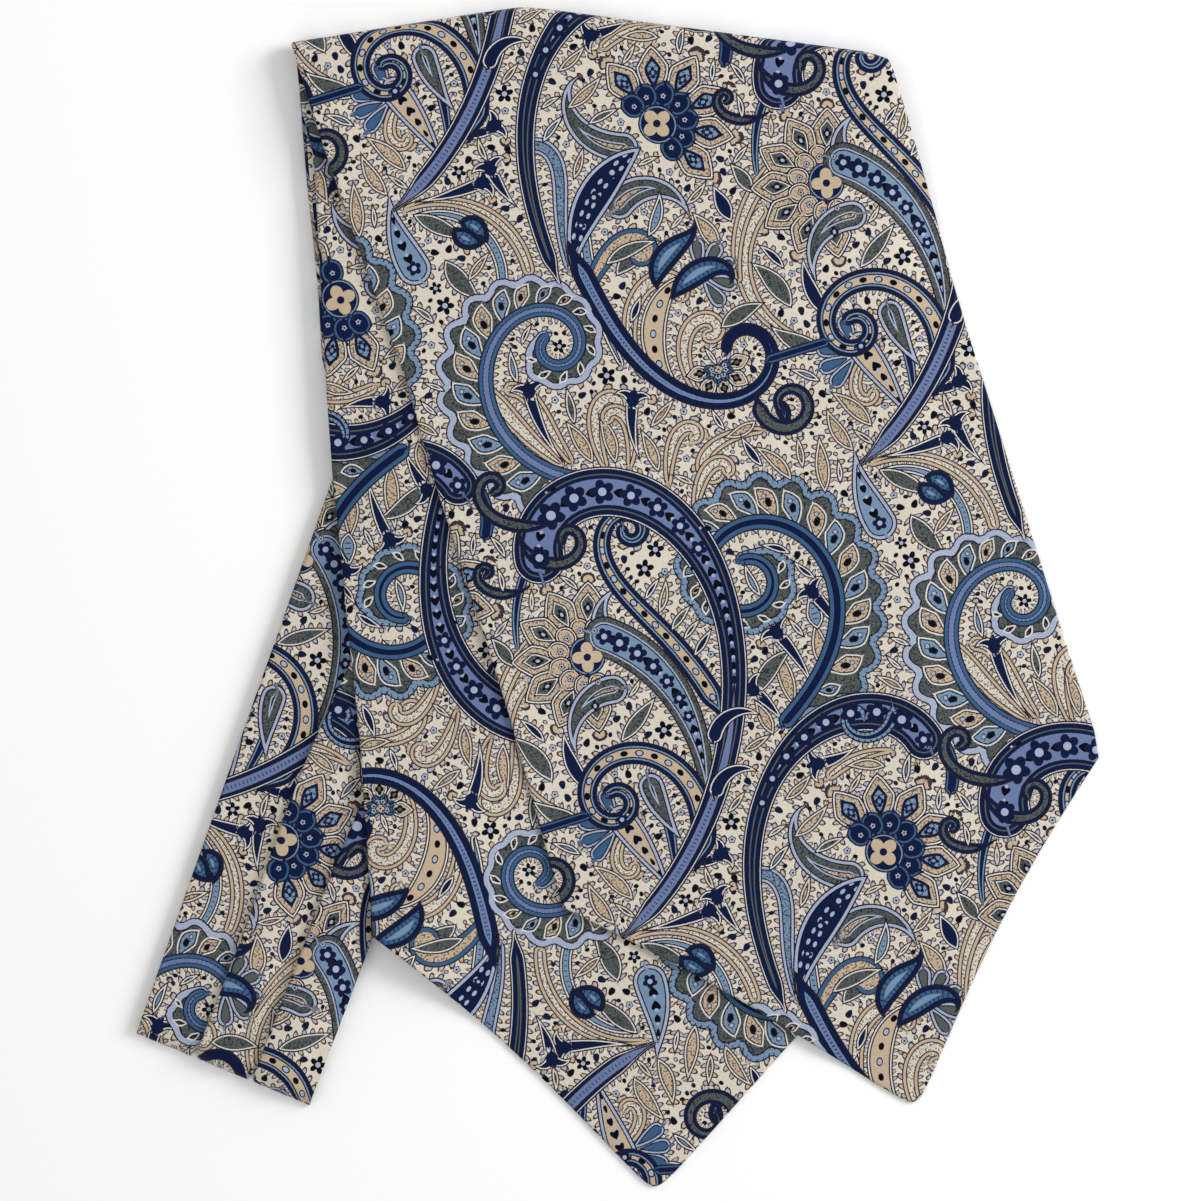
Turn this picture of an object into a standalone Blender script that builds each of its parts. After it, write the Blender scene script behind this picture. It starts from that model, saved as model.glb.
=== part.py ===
"""Silk cravat, folded in half at the middle of its neck band and laid flat.

From the surface up lie the hidden folds (the under half of the band and the two
runs that fan out of it), the pleated neck band, the back blade and the front blade.
Both blades turn over the top fold, the front one outside the back one.

Sizes are in millimetres. X points to the right, Y along the table away from the
viewer and Z up. The origin is under the middle of the cravat, on the table.
"""

import math
from dataclasses import dataclass

import bpy
import numpy as np

MM = 0.001
COLLECTION = "silk_cravat"

# Cloth
BLADE_WALL = 1.2
PLEAT_WALL = 1.0
GAP = 0.3
BLADE_GAP = 0.5
HALF_LAYER = 2.3
HIDDEN_LAYERS = 2

# Top fold, where both blades turn over
FOLD_PEAK_X = -26.5
FOLD_PEAK_Y = 168.0
FOLD_ROUNDING = 3.0
FOLD_SLOPE_LEFT = 0.157
FOLD_SLOPE_RIGHT = 0.134
FOLD_LEG = 5.6

# Neck band: lower left corner, lean from the Y axis and length of the upper half
BAND_CORNER = (-136.8, -123.0)
BAND_LEAN = 19.5
BAND_LENGTH = 178.0
BAND_END = -1.3
BAND_END_SKEW = -2.8
PLEAT_DEPTH = 6.0
FOLD_POINTS = 5
SLOPE_START = PLEAT_DEPTH + 1.4
SLOPE_END = 1.6
UNDER_FOLD = 0.2

# Distance along the band, fold edge of the middle strip and of the right one, right edge
PLEAT_COLUMNS = ("along", "middle", "right", "edge")
PLEAT_ROWS = (
    (0.0, 18.2, 35.6, 53.3),
    (30.0, 19.2, 36.4, 54.1),
    (60.0, 19.0, 37.2, 54.6),
    (80.0, 19.3, 38.6, 55.2),
    (100.0, 20.5, 40.4, 56.4),
    (120.0, 22.6, 42.4, 58.0),
    (180.0, 26.0, 46.0, 62.0),
)

# Hidden layers in the band's own frame: how far their left and right edges lie
HIDDEN_COLUMNS = ("along", "left", "right")
HIDDEN_ROWS = (
    (0.0, 0.6, 52.6),
    (100.0, 0.6, 55.8),
    (150.0, 0.8, 59.5),
    (168.0, 0.8, 62.5),
    (188.0, -8.2, 68.5),
    (198.0, -14.5, 72.0),
    (213.0, -20.7, 78.5),
    (226.0, -26.7, 84.0),
    (244.0, -35.4, 92.0),
    (264.0, -44.3, 101.0),
    (278.0, -50.0, 106.0),
    (292.0, -56.0, 107.0),
    (340.0, -66.0, 107.0),
)
EDGE_ROUNDING = 1.1
EDGE_ANGLES = (60, 0, -60)
ROUND_END = ((0.0, 0.35), (0.4, 0.75), (1.2, 1.0))
LAYER_CLEARANCE = 0.6
LAYER_STEP = 1.2
LEG_CLEARANCE = 0.4

# How the blades settle: start and length of the soft steps between heights under them
ON_BAND_END = (150.0, 34.0)
ON_PLEATS_START = (2.0, 15.0)
ON_PLEATS_END = (176.0, 34.0)
BESIDE_LAYERS = (4.0, 38.0)
BESIDE_BLADE = (4.0, 16.0)
LIFT_WIDTH = 16.0
CORNER_SHARE = 0.1
TIP_ROUNDING = 2.5

# Mesh fineness
BLADE_COLUMNS = 22
BLADE_ROWS = 44
TURN_ROWS = 8
HIDDEN_ACROSS = 13
FAN_SECTIONS = 10
BAND_SECTIONS = 5
SLOPE_POINTS = 6
BAND_TURNS = (90, 72, 54, 36, 18, 0)
BAND_SHARES = (0.06, 0.13, 0.2, 0.3, 0.4, 0.5, 0.6, 0.7, 0.8, 0.9, 1.0)
FIRST_REACH = 300.0
REACH_PASSES = 12

SILK_CREAM = (0.76, 0.71, 0.58)
SILK_BLUE = (0.22, 0.27, 0.42)
SILK_GREY = (0.45, 0.46, 0.47)
SILK_ROUGHNESS = 0.48


@dataclass
class Blade:
    """A pointed end: a strip between two edges, cut to a right angle at the tip.

    cuts holds, for the left and for the right cut, its rise for each unit across and how
    far it bows inwards.
    edges holds rows of distance from the tip, left edge outwards, right edge outwards.
    lifts holds rows of distance from the tip, length and height of a wave of the left edge.
    inset is how far inside the top fold the blade turns, and corner how much its fold
    drops at the right edge.
    """

    tip: tuple
    lean: float
    half_width: float
    cuts: tuple
    edges: tuple
    lifts: tuple
    inset: float
    corner: float

    def axes(self):
        lean = math.radians(self.lean)
        along = np.array((-math.sin(lean), math.cos(lean)))
        across = np.array((math.cos(lean), math.sin(lean)))
        return along, across

    def edge_offsets(self, reach):
        rows = np.array(self.edges)
        left = np.interp(reach, rows[:, 0], rows[:, 1])
        right = np.interp(reach, rows[:, 0], rows[:, 2])
        return left, right

    def spread(self, side, reach):
        """Distance from the axis at the share side, from -1 at the left edge to 1 at the right."""
        left, right = self.edge_offsets(reach)
        outwards = right * (1 + side) / 2 - left * (1 - side) / 2
        return side * self.half_width + outwards

    def place(self, offset, reach):
        along, across = self.axes()
        x = self.tip[0] + offset * across[0] + reach * along[0]
        y = self.tip[1] + offset * across[1] + reach * along[1]
        return x, y

    def to_fold(self, side):
        """Reach along the axis at which each column meets the top fold."""
        along, _ = self.axes()
        reach = np.full_like(side, FIRST_REACH)
        for _ in range(REACH_PASSES):
            x, y = self.place(self.spread(side, reach), reach)
            reach = reach + (fold_line(x) - self.inset - y) / along[1]
        near_corner = np.clip((side - 1 + CORNER_SHARE) / CORNER_SHARE, 0, 1)
        return reach - self.corner * near_corner**2

    def to_point(self, side):
        """Reach of the two straight cuts that meet at the tip."""
        offset = self.half_width * side
        (left_rise, left_bow), (right_rise, right_bow) = self.cuts
        rise = np.where(side < 0, left_rise, right_rise)
        bow = np.where(side < 0, left_bow, right_bow)
        straight = rise * (np.hypot(offset, TIP_ROUNDING) - TIP_ROUNDING)
        return straight + bow * np.sin(math.pi * np.abs(side))

    def outside(self, x, y):
        """Distance from the blade's outline, negative inside it."""
        along, across = self.axes()
        dx = x - self.tip[0]
        dy = y - self.tip[1]
        offset = dx * across[0] + dy * across[1]
        reach = dx * along[0] + dy * along[1]
        left, right = self.edge_offsets(reach)
        past_left = -offset - self.half_width - left
        past_right = offset - self.half_width - right
        past_point = (np.abs(offset) - reach) / math.sqrt(2)
        return np.maximum(np.maximum(past_left, past_right), past_point)

    def lift(self, side, reach):
        """Waves that raise the left edge off what it lies on."""
        from_edge = np.exp(-(((1 + side) * self.half_width / LIFT_WIDTH) ** 2))
        height = np.zeros_like(reach)
        for middle, length, rise in self.lifts:
            height = height + rise * np.exp(-(((reach - middle) / length) ** 2))
        return height * from_edge


FRONT = Blade(
    tip=(85.2, -143.8),
    lean=17.3,
    half_width=80.0,
    cuts=((1.07, 3.2), (1.01, 4.8)),
    edges=(
        (79.0, -0.2, -1.3),
        (86.0, -0.2, -0.3),
        (108.0, -0.8, -0.6),
        (140.0, -2.0, -0.7),
        (205.0, -1.4, -0.9),
        (222.0, -1.8, -0.7),
        (240.0, -2.2, 0.3),
        (265.0, -1.0, 0.9),
        (318.0, 0.6, 0.8),
        (345.0, 0.4, 0.8),
    ),
    lifts=((312.0, 20.0, 1.3), (152.0, 18.0, 0.9)),
    inset=0.0,
    corner=1.5,
)
BACK = Blade(
    tip=(10.5, -168.0),
    lean=2.9,
    half_width=76.3,
    cuts=((1.02, 4.2), (1.02, 0.0)),
    edges=(
        (76.0, 0.1, 0.0),
        (132.0, 1.1, 0.0),
        (157.0, 2.5, 0.0),
        (187.0, 4.1, 0.0),
        (203.0, 5.0, 0.0),
        (230.0, 5.6, 0.0),
        (298.0, 5.8, -1.0),
        (306.0, 7.6, -1.5),
        (314.0, 8.8, -2.0),
        (331.0, 9.6, -3.0),
    ),
    lifts=((180.0, 16.0, 0.6),),
    inset=BLADE_WALL + BLADE_GAP,
    corner=0.0,
)


def ease(share):
    share = np.clip(share, 0, 1)
    return share * share * (3 - 2 * share)


def step(distance, span):
    """A soft step from 0 to 1 over a span, which is its start and its length."""
    return ease((distance - span[0]) / span[1])


def column(rows, names, name, along):
    table = np.array(rows)
    return np.interp(along, table[:, 0], table[:, names.index(name)])


def fold_line(x):
    """Y of the top fold: two gentle slopes that meet in a soft peak."""
    from_peak = np.hypot(x - FOLD_PEAK_X, FOLD_ROUNDING) - FOLD_ROUNDING
    slope = np.where(x < FOLD_PEAK_X, FOLD_SLOPE_LEFT, FOLD_SLOPE_RIGHT)
    return FOLD_PEAK_Y - slope * from_peak


def band_axes():
    lean = math.radians(BAND_LEAN)
    along = np.array((math.sin(lean), math.cos(lean)))
    across = np.array((math.cos(lean), -math.sin(lean)))
    return along, across


def from_band(across_band, along_band):
    """Plan position of a point given across and along the neck band."""
    along, across = band_axes()
    x = BAND_CORNER[0] + across_band * across[0] + along_band * along[0]
    y = BAND_CORNER[1] + across_band * across[1] + along_band * along[1]
    return x, y


def to_band(x, y):
    along, across = band_axes()
    dx = x - BAND_CORNER[0]
    dy = y - BAND_CORNER[1]
    return dx * across[0] + dy * across[1], dx * along[0] + dy * along[1]


def hidden_edges(along_band):
    left = column(HIDDEN_ROWS, HIDDEN_COLUMNS, "left", along_band)
    right = column(HIDDEN_ROWS, HIDDEN_COLUMNS, "right", along_band)
    return left, right


def under_back_blade(x, y):
    """Height of what the back blade lies on, with soft slopes down to the table."""
    across_band, along_band = to_band(x, y)
    left, right = hidden_edges(along_band)
    beyond = np.maximum(np.maximum(across_band - right, left - across_band), -along_band)
    fan = HIDDEN_LAYERS * HALF_LAYER + GAP
    single = HALF_LAYER + GAP + PLEAT_WALL + GAP
    pleats = single + 2 * (PLEAT_WALL + GAP)
    on_pleats = step(across_band, ON_PLEATS_START) * (1 - step(along_band, ON_PLEATS_END))
    height = single + (fan - single) * step(along_band, ON_BAND_END)
    height = np.maximum(height, pleats * on_pleats + height * (1 - on_pleats))
    return height * (1 - step(beyond, BESIDE_LAYERS))


def under_front_blade(x, y):
    """Height of what the front blade lies on: the back blade, then the table beside it."""
    on_blade = 1 - step(BACK.outside(x, y), BESIDE_BLADE)
    return under_back_blade(x, y) + (BLADE_WALL + BLADE_GAP) * on_blade


def blade_surface(blade, under, floor):
    """Outer face of a blade: tucked under the top fold, round it, and down to the point."""
    side = np.linspace(-1, 1, BLADE_COLUMNS + 1)[:, None]
    fold = blade.to_fold(side)
    point = blade.to_point(side)
    x, y = blade.place(blade.spread(side, fold), fold)
    crown = under(x, y) + BLADE_WALL + blade.lift(side, fold)
    radius = (crown - floor) / 2
    turn = np.linspace(-math.pi / 2, math.pi / 2, TURN_ROWS + 1)[None, :]
    leg = fold - FOLD_LEG + blade.inset
    turn_reach = fold - radius * (1 - np.cos(turn))
    turn_height = floor + radius * (1 + np.sin(turn))
    share = np.linspace(0, 1, BLADE_ROWS + 1)[None, 1:]
    top_reach = (fold - radius) * (1 - share) + point * share
    reach = np.concatenate((leg, turn_reach, top_reach), axis=1)
    sides = np.broadcast_to(side, reach.shape)
    x, y = blade.place(blade.spread(sides, reach), reach)
    top_height = under(x, y) + BLADE_WALL + blade.lift(sides, reach)
    top_height = top_height[:, -BLADE_ROWS:]
    leg_height = np.full_like(leg, floor)
    z = np.concatenate((leg_height, turn_height, top_height), axis=1)
    return np.stack((x, y, z), axis=-1)


def open_grid(name, points):
    """A grid of quads, left to right in the first index, whose faces look up on top."""
    columns, rows = points.shape[:2]
    index = np.arange(columns * rows).reshape(columns, rows)
    quads = (index[:-1, :-1], index[:-1, 1:], index[1:, 1:], index[1:, :-1])
    faces = np.stack([corner.ravel() for corner in quads], axis=-1)
    mesh = bpy.data.meshes.new(name)
    mesh.from_pydata((points.reshape(-1, 3) * MM).tolist(), [], faces.tolist())
    return mesh


def closed_loft(name, loops, columns):
    """A body through closed sections. A section runs over its top from left to right,
    down its right side, back along its underside and up its left side. columns is the
    number of points over the top, and under the bottom; both ends are closed by strips."""
    sections, around = loops.shape[:2]
    index = np.arange(sections * around).reshape(sections, around)
    onwards = np.roll(index, -1, axis=1)
    quads = (index[:-1], onwards[:-1], onwards[1:], index[1:])
    faces = np.stack([corner.ravel() for corner in quads], axis=-1).tolist()
    side = (around - 2 * columns) // 2
    under = list(range(2 * columns + side - 1, columns + side - 1, -1))
    for section, forwards in ((0, False), (sections - 1, True)):
        first = section * around
        strip = [(i, i + 1, under[i + 1], under[i]) for i in range(columns - 1)]
        if side:
            strip.append(tuple(range(columns - 1, columns + side + 1)))
            strip.append((*range(2 * columns + side - 1, around), 0))
        for face in strip:
            corners = [first + corner for corner in face]
            faces.append(corners if forwards else corners[::-1])
    mesh = bpy.data.meshes.new(name)
    mesh.from_pydata((loops.reshape(-1, 3) * MM).tolist(), [], faces)
    return mesh


def hidden_loops():
    """Sections of the hidden layers, from the band's end to just inside the top fold."""
    across = np.linspace(0, 1, HIDDEN_ACROSS)
    lean_up = band_axes()[0][1]
    reach = np.full_like(across, FIRST_REACH)
    for _ in range(REACH_PASSES):
        left, right = hidden_edges(reach)
        x, y = from_band(left + (right - left) * across, reach)
        reach = reach + (fold_line(x) - FOLD_LEG - LEG_CLEARANCE - y) / lean_up
    start = HALF_LAYER + 3 * (PLEAT_WALL + GAP) + GAP
    band_stop = BAND_LENGTH + LAYER_CLEARANCE
    fan_start = band_stop + LAYER_STEP
    both = HIDDEN_LAYERS * HALF_LAYER
    rows = [(start + inwards, HALF_LAYER, full) for inwards, full in ROUND_END]
    for part in range(1, BAND_SECTIONS + 1):
        rows.append((start + (band_stop - start) * part / BAND_SECTIONS, HALF_LAYER, 1.0))
    for part in range(FAN_SECTIONS):
        rows.append((fan_start + (reach - fan_start) * part / FAN_SECTIONS, both, 1.0))
    rows += [(reach - inwards, both, full) for inwards, full in ROUND_END[::-1]]
    return np.stack([hidden_section(across, *row) for row in rows])


def hidden_section(across, along, height, full):
    """One section: flat top and underside, and two rounded edges, one over the other.

    full is below 1 at the ends, where the section closes towards its middle height.
    """
    along = np.broadcast_to(along, across.shape)
    left, right = hidden_edges(along)
    inner_left = left + EDGE_ROUNDING
    inner_right = right - EDGE_ROUNDING
    flat = inner_left + (inner_right - inner_left) * across
    angles = np.radians(EDGE_ANGLES)
    bulge = EDGE_ROUNDING * np.cos(angles)
    lobe = height / HIDDEN_LAYERS
    upper = height - lobe / 2 + lobe / 2 * np.sin(angles)
    lower = lobe / 2 + lobe / 2 * np.sin(angles)
    side_z = np.concatenate((upper, lower))
    side_out = np.concatenate((bulge, bulge))
    u = np.concatenate((flat, inner_right[-1] + side_out, flat[::-1], inner_left[0] - side_out))
    beside = np.ones(side_z.size)
    v = np.concatenate((along, along[-1] * beside, along[::-1], along[0] * beside))
    top = np.full(across.size, height)
    z = np.concatenate((top, side_z, np.zeros(across.size), side_z[::-1]))
    z = height / 2 + (z - height / 2) * full
    x, y = from_band(u, v)
    return np.stack((x, y, z), axis=-1)


def turn_back(centre_u, level, side):
    """Half circle of a fold edge, from one layer of the pleat up to the next."""
    radius = (PLEAT_WALL + GAP) / 2
    angles = np.linspace(-math.pi / 2, math.pi / 2, FOLD_POINTS)
    u = centre_u + side * radius * np.cos(angles)
    w = level + radius + radius * np.sin(angles)
    return np.stack((u, w), axis=-1)


def slope_down(start, end, high, low):
    share = np.linspace(0, 1, SLOPE_POINTS)
    return np.stack((start + (end - start) * share, high + (low - high) * ease(share)), axis=-1)


def pleat_line(middle, right, edge):
    """Middle line of the cloth across the band: three strips joined by two Z folds."""
    pitch = PLEAT_WALL + GAP
    low = PLEAT_WALL / 2
    high = low + 2 * pitch
    fold_reach = (pitch + PLEAT_WALL) / 2
    pieces = [np.array(((0.0, low), (middle / 2, low), (middle - SLOPE_END, low)))]
    for start, end in ((middle, right), (right, edge)):
        pieces.append(np.array(((start - UNDER_FOLD, low),)))
        pieces.append(turn_back(start + PLEAT_DEPTH, low, 1))
        pieces.append(turn_back(start + fold_reach, low + pitch, -1))
        pieces.append(slope_down(start + SLOPE_START, end - SLOPE_END, high, low))
    pieces.append(np.array(((edge, low),)))
    return np.concatenate(pieces)


def pleat_section(middle, right, edge):
    """The middle line given its wall: its upper face from left to right and its under face."""
    line = pleat_line(middle, right, edge)
    steps = np.gradient(line, axis=0)
    steps /= np.linalg.norm(steps, axis=1)[:, None]
    normals = np.stack((-steps[:, 1], steps[:, 0]), axis=-1)
    return line + normals * PLEAT_WALL / 2, line - normals * PLEAT_WALL / 2


def crown_of_band(across, middle, right, edge):
    """Height of the band's upper face over its underside: one layer, or three on a pleat."""
    single = PLEAT_WALL
    triple = 3 * PLEAT_WALL + 2 * GAP
    on_pleat = np.zeros_like(across)
    for start, end in ((middle, right), (right, edge)):
        rise = ease((across - start + SLOPE_END) / (SLOPE_END - UNDER_FOLD))
        fall = ease((across - start - SLOPE_START) / (end - SLOPE_END - start - SLOPE_START))
        on_pleat = on_pleat + rise * (1 - fall)
    return single + (triple - single) * on_pleat


def band_loops():
    """Sections of the neck band, from where it stands on the table at its own fold, over
    the fold and up to its end under the back blade."""
    floor = HALF_LAYER + GAP
    loops = []
    for turn in np.radians(BAND_TURNS):
        upper, under = pleat_section(*pleats_at(0.0))
        loop = np.concatenate((upper, under[::-1]))
        radius = floor + crown_of_band(loop[:, 0], *pleats_at(0.0))
        height = floor + loop[:, 1]
        along = end_line(loop[:, 0]) + radius - height * math.sin(turn)
        x, y = from_band(loop[:, 0], along)
        loops.append(np.stack((x, y, height * math.cos(turn)), axis=-1))
    for share in BAND_SHARES:
        upper, under = pleat_section(*pleats_at(share * BAND_LENGTH))
        loop = np.concatenate((upper, under[::-1]))
        radius = floor + crown_of_band(loop[:, 0], *pleats_at(0.0))
        along = (end_line(loop[:, 0]) + radius) * (1 - share) + BAND_LENGTH * share
        x, y = from_band(loop[:, 0], along)
        loops.append(np.stack((x, y, floor + loop[:, 1]), axis=-1))
    return np.stack(loops), len(upper)


def end_line(across):
    """Where the band's own fold lies along the band: a straight line, a little askew."""
    return BAND_END + BAND_END_SKEW * across / PLEAT_ROWS[0][-1]


def pleats_at(along):
    return [float(column(PLEAT_ROWS, PLEAT_COLUMNS, name, along)) for name in PLEAT_COLUMNS[1:]]


def silk(name, colour):
    material = bpy.data.materials.new(name)
    material.use_nodes = True
    shader = material.node_tree.nodes["Principled BSDF"]
    shader.inputs["Base Color"].default_value = (*colour, 1)
    shader.inputs["Roughness"].default_value = SILK_ROUGHNESS
    shader.inputs["Metallic"].default_value = 0
    material.diffuse_color = (*colour, 1)
    return material


def add_piece(mesh, colour, collection):
    mesh.materials.append(silk(mesh.name + "_silk", colour))
    piece = bpy.data.objects.new(mesh.name, mesh)
    collection.objects.link(piece)
    return piece


def add_blade(name, blade, under, floor, colour, collection):
    """A blade is the open surface of its outer face, given its wall inwards."""
    piece = add_piece(open_grid(name, blade_surface(blade, under, floor)), colour, collection)
    wall = piece.modifiers.new("wall", "SOLIDIFY")
    wall.thickness = BLADE_WALL * MM
    wall.offset = -1
    wall.use_even_offset = True
    return piece


def clear_scene():
    for item in list(bpy.data.objects):
        bpy.data.objects.remove(item, do_unlink=True)


def main():
    clear_scene()
    collection = bpy.data.collections.new(COLLECTION)
    bpy.context.scene.collection.children.link(collection)
    hidden = closed_loft("hidden_folds", hidden_loops(), HIDDEN_ACROSS)
    add_piece(hidden, SILK_GREY, collection)
    loops, columns = band_loops()
    add_piece(closed_loft("neck_band", loops, columns), SILK_BLUE, collection)
    tucked = BLADE_WALL + BLADE_GAP
    add_blade("back_blade", BACK, under_back_blade, tucked, SILK_GREY, collection)
    add_blade("front_blade", FRONT, under_front_blade, 0.0, SILK_CREAM, collection)


main()
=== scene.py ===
"""Looks of the silk cravat: its printed cloth, folds and pleats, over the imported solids.

Each piece is a thin closed shell of silk. The print is strokes and small marks on a repeat.
Every face keeps where it lies on the topmost of them, and the material inks them from that.
Shapes and print are in millimetres, X to the right, Y along the table away from the viewer
and Z up. A place on a strip of cloth is across it and along it.
"""

import math
from dataclasses import dataclass, field, replace

import bpy
import numpy as np
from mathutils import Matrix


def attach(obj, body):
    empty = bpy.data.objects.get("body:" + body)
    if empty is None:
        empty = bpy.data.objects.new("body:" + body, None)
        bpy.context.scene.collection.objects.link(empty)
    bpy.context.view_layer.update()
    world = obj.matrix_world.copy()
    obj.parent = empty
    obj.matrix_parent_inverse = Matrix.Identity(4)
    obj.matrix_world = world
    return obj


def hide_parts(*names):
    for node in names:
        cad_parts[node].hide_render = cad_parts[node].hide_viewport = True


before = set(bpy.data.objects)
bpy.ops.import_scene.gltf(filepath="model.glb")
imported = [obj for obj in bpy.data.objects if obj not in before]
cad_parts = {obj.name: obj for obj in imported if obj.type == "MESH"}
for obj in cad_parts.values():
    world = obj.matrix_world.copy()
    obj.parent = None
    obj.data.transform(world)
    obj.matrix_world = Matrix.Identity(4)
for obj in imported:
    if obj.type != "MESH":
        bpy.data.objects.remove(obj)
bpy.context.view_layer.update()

MM = 0.001

# ---- sizes of the cravat
BLADE_WALL = 1.2
PLEAT_WALL = 1.0
GAP = 0.3
BLADE_GAP = 0.5
HALF_LAYER = 2.3
HIDDEN_LAYERS = 2
FOLD_PEAK = (-26.5, 168.0)
FOLD_ROUNDING = 3.0
FOLD_SLOPES = (0.157, 0.134)
FOLD_LEG = 5.6
BAND_LENGTH = 178.0
BAND_END = -1.3
BAND_END_SKEW = -2.8
PLEAT_DEPTH = 6.0
SLOPE_START = PLEAT_DEPTH + 1.4
SLOPE_END = 1.6
UNDER_FOLD = 0.2
# Distance along the band, fold edge of the middle strip and of the right one, right edge
PLEAT_ROWS = (
    (0, 18.2, 35.6, 53.3), (30, 19.2, 36.4, 54.1), (60, 19, 37.2, 54.6), (80, 19.3, 38.6, 55.2),
    (100, 20.5, 40.4, 56.4), (120, 22.6, 42.4, 58), (180, 26, 46, 62),
)
# Distance along the band, left edge and right edge of the hidden layers
HIDDEN_ROWS = (
    (0, 0.6, 52.6), (100, 0.6, 55.8), (150, 0.8, 59.5), (168, 0.8, 62.5), (188, -8.2, 68.5),
    (198, -14.5, 72), (213, -20.7, 78.5), (226, -26.7, 84), (244, -35.4, 92), (264, -44.3, 101),
    (278, -50, 106), (292, -56, 107), (340, -66, 107),
)
# Distance inwards from an end of the hidden layers, and share of the full height there
ROUND_END = ((0, 0.35), (0.2, 0.57), (0.4, 0.75), (0.8, 0.92), (1.2, 1))
EDGE_ROUNDING = 1.1
LAYER_CLEARANCE = 0.6
LAYER_STEP = 1.2
LEG_CLEARANCE = 0.4
# Start and length of the slopes between layers of different height
ON_BAND_END = (150, 34)
ON_PLEATS_START = (2, 15)
ON_PLEATS_END = (176, 34)
BESIDE_LAYERS = (4, 38)
BESIDE_BLADE = (4, 16)
LIFT_WIDTH = 16.0
CORNER_SHARE = 0.1
TIP_ROUNDING = 2.5
# Creases: place across and along, angle, length, width and height
BAND_CREASES = ((9, 40, 84, 60, 7, 0.25), (27, 70, 96, 70, 8, -0.25), (46, 34, 80, 50, 7, 0.25))

# ---- places of the print on the pieces, and how far it jumps at points of the pleats' line
UNDERSIDE_SHIFT = (52.0, 13.0)
HIDDEN_SHIFT = (20.0, 40.0)
BAND_SHIFT = (-50.5, 6.5)
PLEAT_JUMPS = ((34, 28.0), (83, 10.0))

# ---- fineness of the meshes
BLADE_COLUMNS = 190
LEG_ROWS = 2
TURN_ROWS = 20
TOP_ROWS = 364
UNDERSIDE_STEP = 2
RIM_ANGLES = (45, 90, 135)
PLEAT_POINTS = 13
BAND_TURN_ROWS = 14
BAND_ROWS = 190
HIDDEN_ACROSS = 61
HIDDEN_STEPS = 60
HIDDEN_EDGE_ANGLES = (70, 35, 0, -35, -70)
FIRST_REACH = 300.0
REACH_PASSES = 12


def ease(share):
    """Smooth step from 0 to 1: three times the square less twice the cube."""
    share = np.clip(share, 0, 1)
    return share * share * (3 - 2 * share)


def soft_step(distance, span):
    """A smooth step over a span, which is its start and its length."""
    return ease((distance - span[0]) / span[1])


def columns_at(rows, place):
    """The further columns of a table between its rows, by its first column."""
    first, *others = np.array(rows).T
    return [np.interp(place, first, column) for column in others]


def unit(vectors):
    return vectors / np.maximum(np.linalg.norm(vectors, axis=-1), 1e-9)[..., None]


def summed(steps):
    """Running sums that start from nothing."""
    return np.concatenate((np.zeros((1, *steps.shape[1:])), np.cumsum(steps, axis=0)))


def directions(line):
    """Unit steps along a line, and the directions to its left."""
    steps = unit(np.gradient(line, axis=0))
    return steps, np.stack((-steps[:, 1], steps[:, 0]), axis=-1)


def lengths(line):
    return summed(np.hypot(*np.diff(line, axis=0).T))


def crease_relief(creases, across, along):
    """Sum of creases, each a bell across its bowed line times a longer bell along it."""
    height = 0
    for middle_across, middle_along, angle, length, width, rise in creases:
        turn = math.radians(angle)
        dx, dy = across - middle_across, along - middle_along
        down = (dx * math.cos(turn) + dy * math.sin(turn)) / (length / 2)
        beside = (dy * math.cos(turn) - dx * math.sin(turn)) / (width / 2) - 0.5 * down**2
        height = height + rise * np.exp(-(beside**2) - down**4)
    return height


def fold_line(x):
    """Y of the top fold: two gentle slopes that meet in a soft peak."""
    from_peak = np.hypot(x - FOLD_PEAK[0], FOLD_ROUNDING) - FOLD_ROUNDING
    return FOLD_PEAK[1] - np.where(x < FOLD_PEAK[0], *FOLD_SLOPES) * from_peak


@dataclass
class Strip:
    """A strip on the table, from its tip or first corner, with its lean to the left."""

    tip: tuple
    lean: float

    @property
    def turn(self):
        """Cosine and sine of the lean."""
        return math.cos(math.radians(self.lean)), math.sin(math.radians(self.lean))

    def place(self, across, along):
        cos, sin = self.turn
        return self.tip[0] + across * cos - along * sin, self.tip[1] + across * sin + along * cos

    def within(self, x, y):
        cos, sin = self.turn
        x, y = x - self.tip[0], y - self.tip[1]
        return x * cos + y * sin, y * cos - x * sin

    def to_fold(self, across_at, short):
        """Length along the strip at which its columns come short of the top fold, by steps."""
        along = FIRST_REACH
        for _ in range(REACH_PASSES):
            x, y = self.place(across_at(along), along)
            along = along + (fold_line(x) - short - y) / self.turn[0]
        return along


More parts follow.
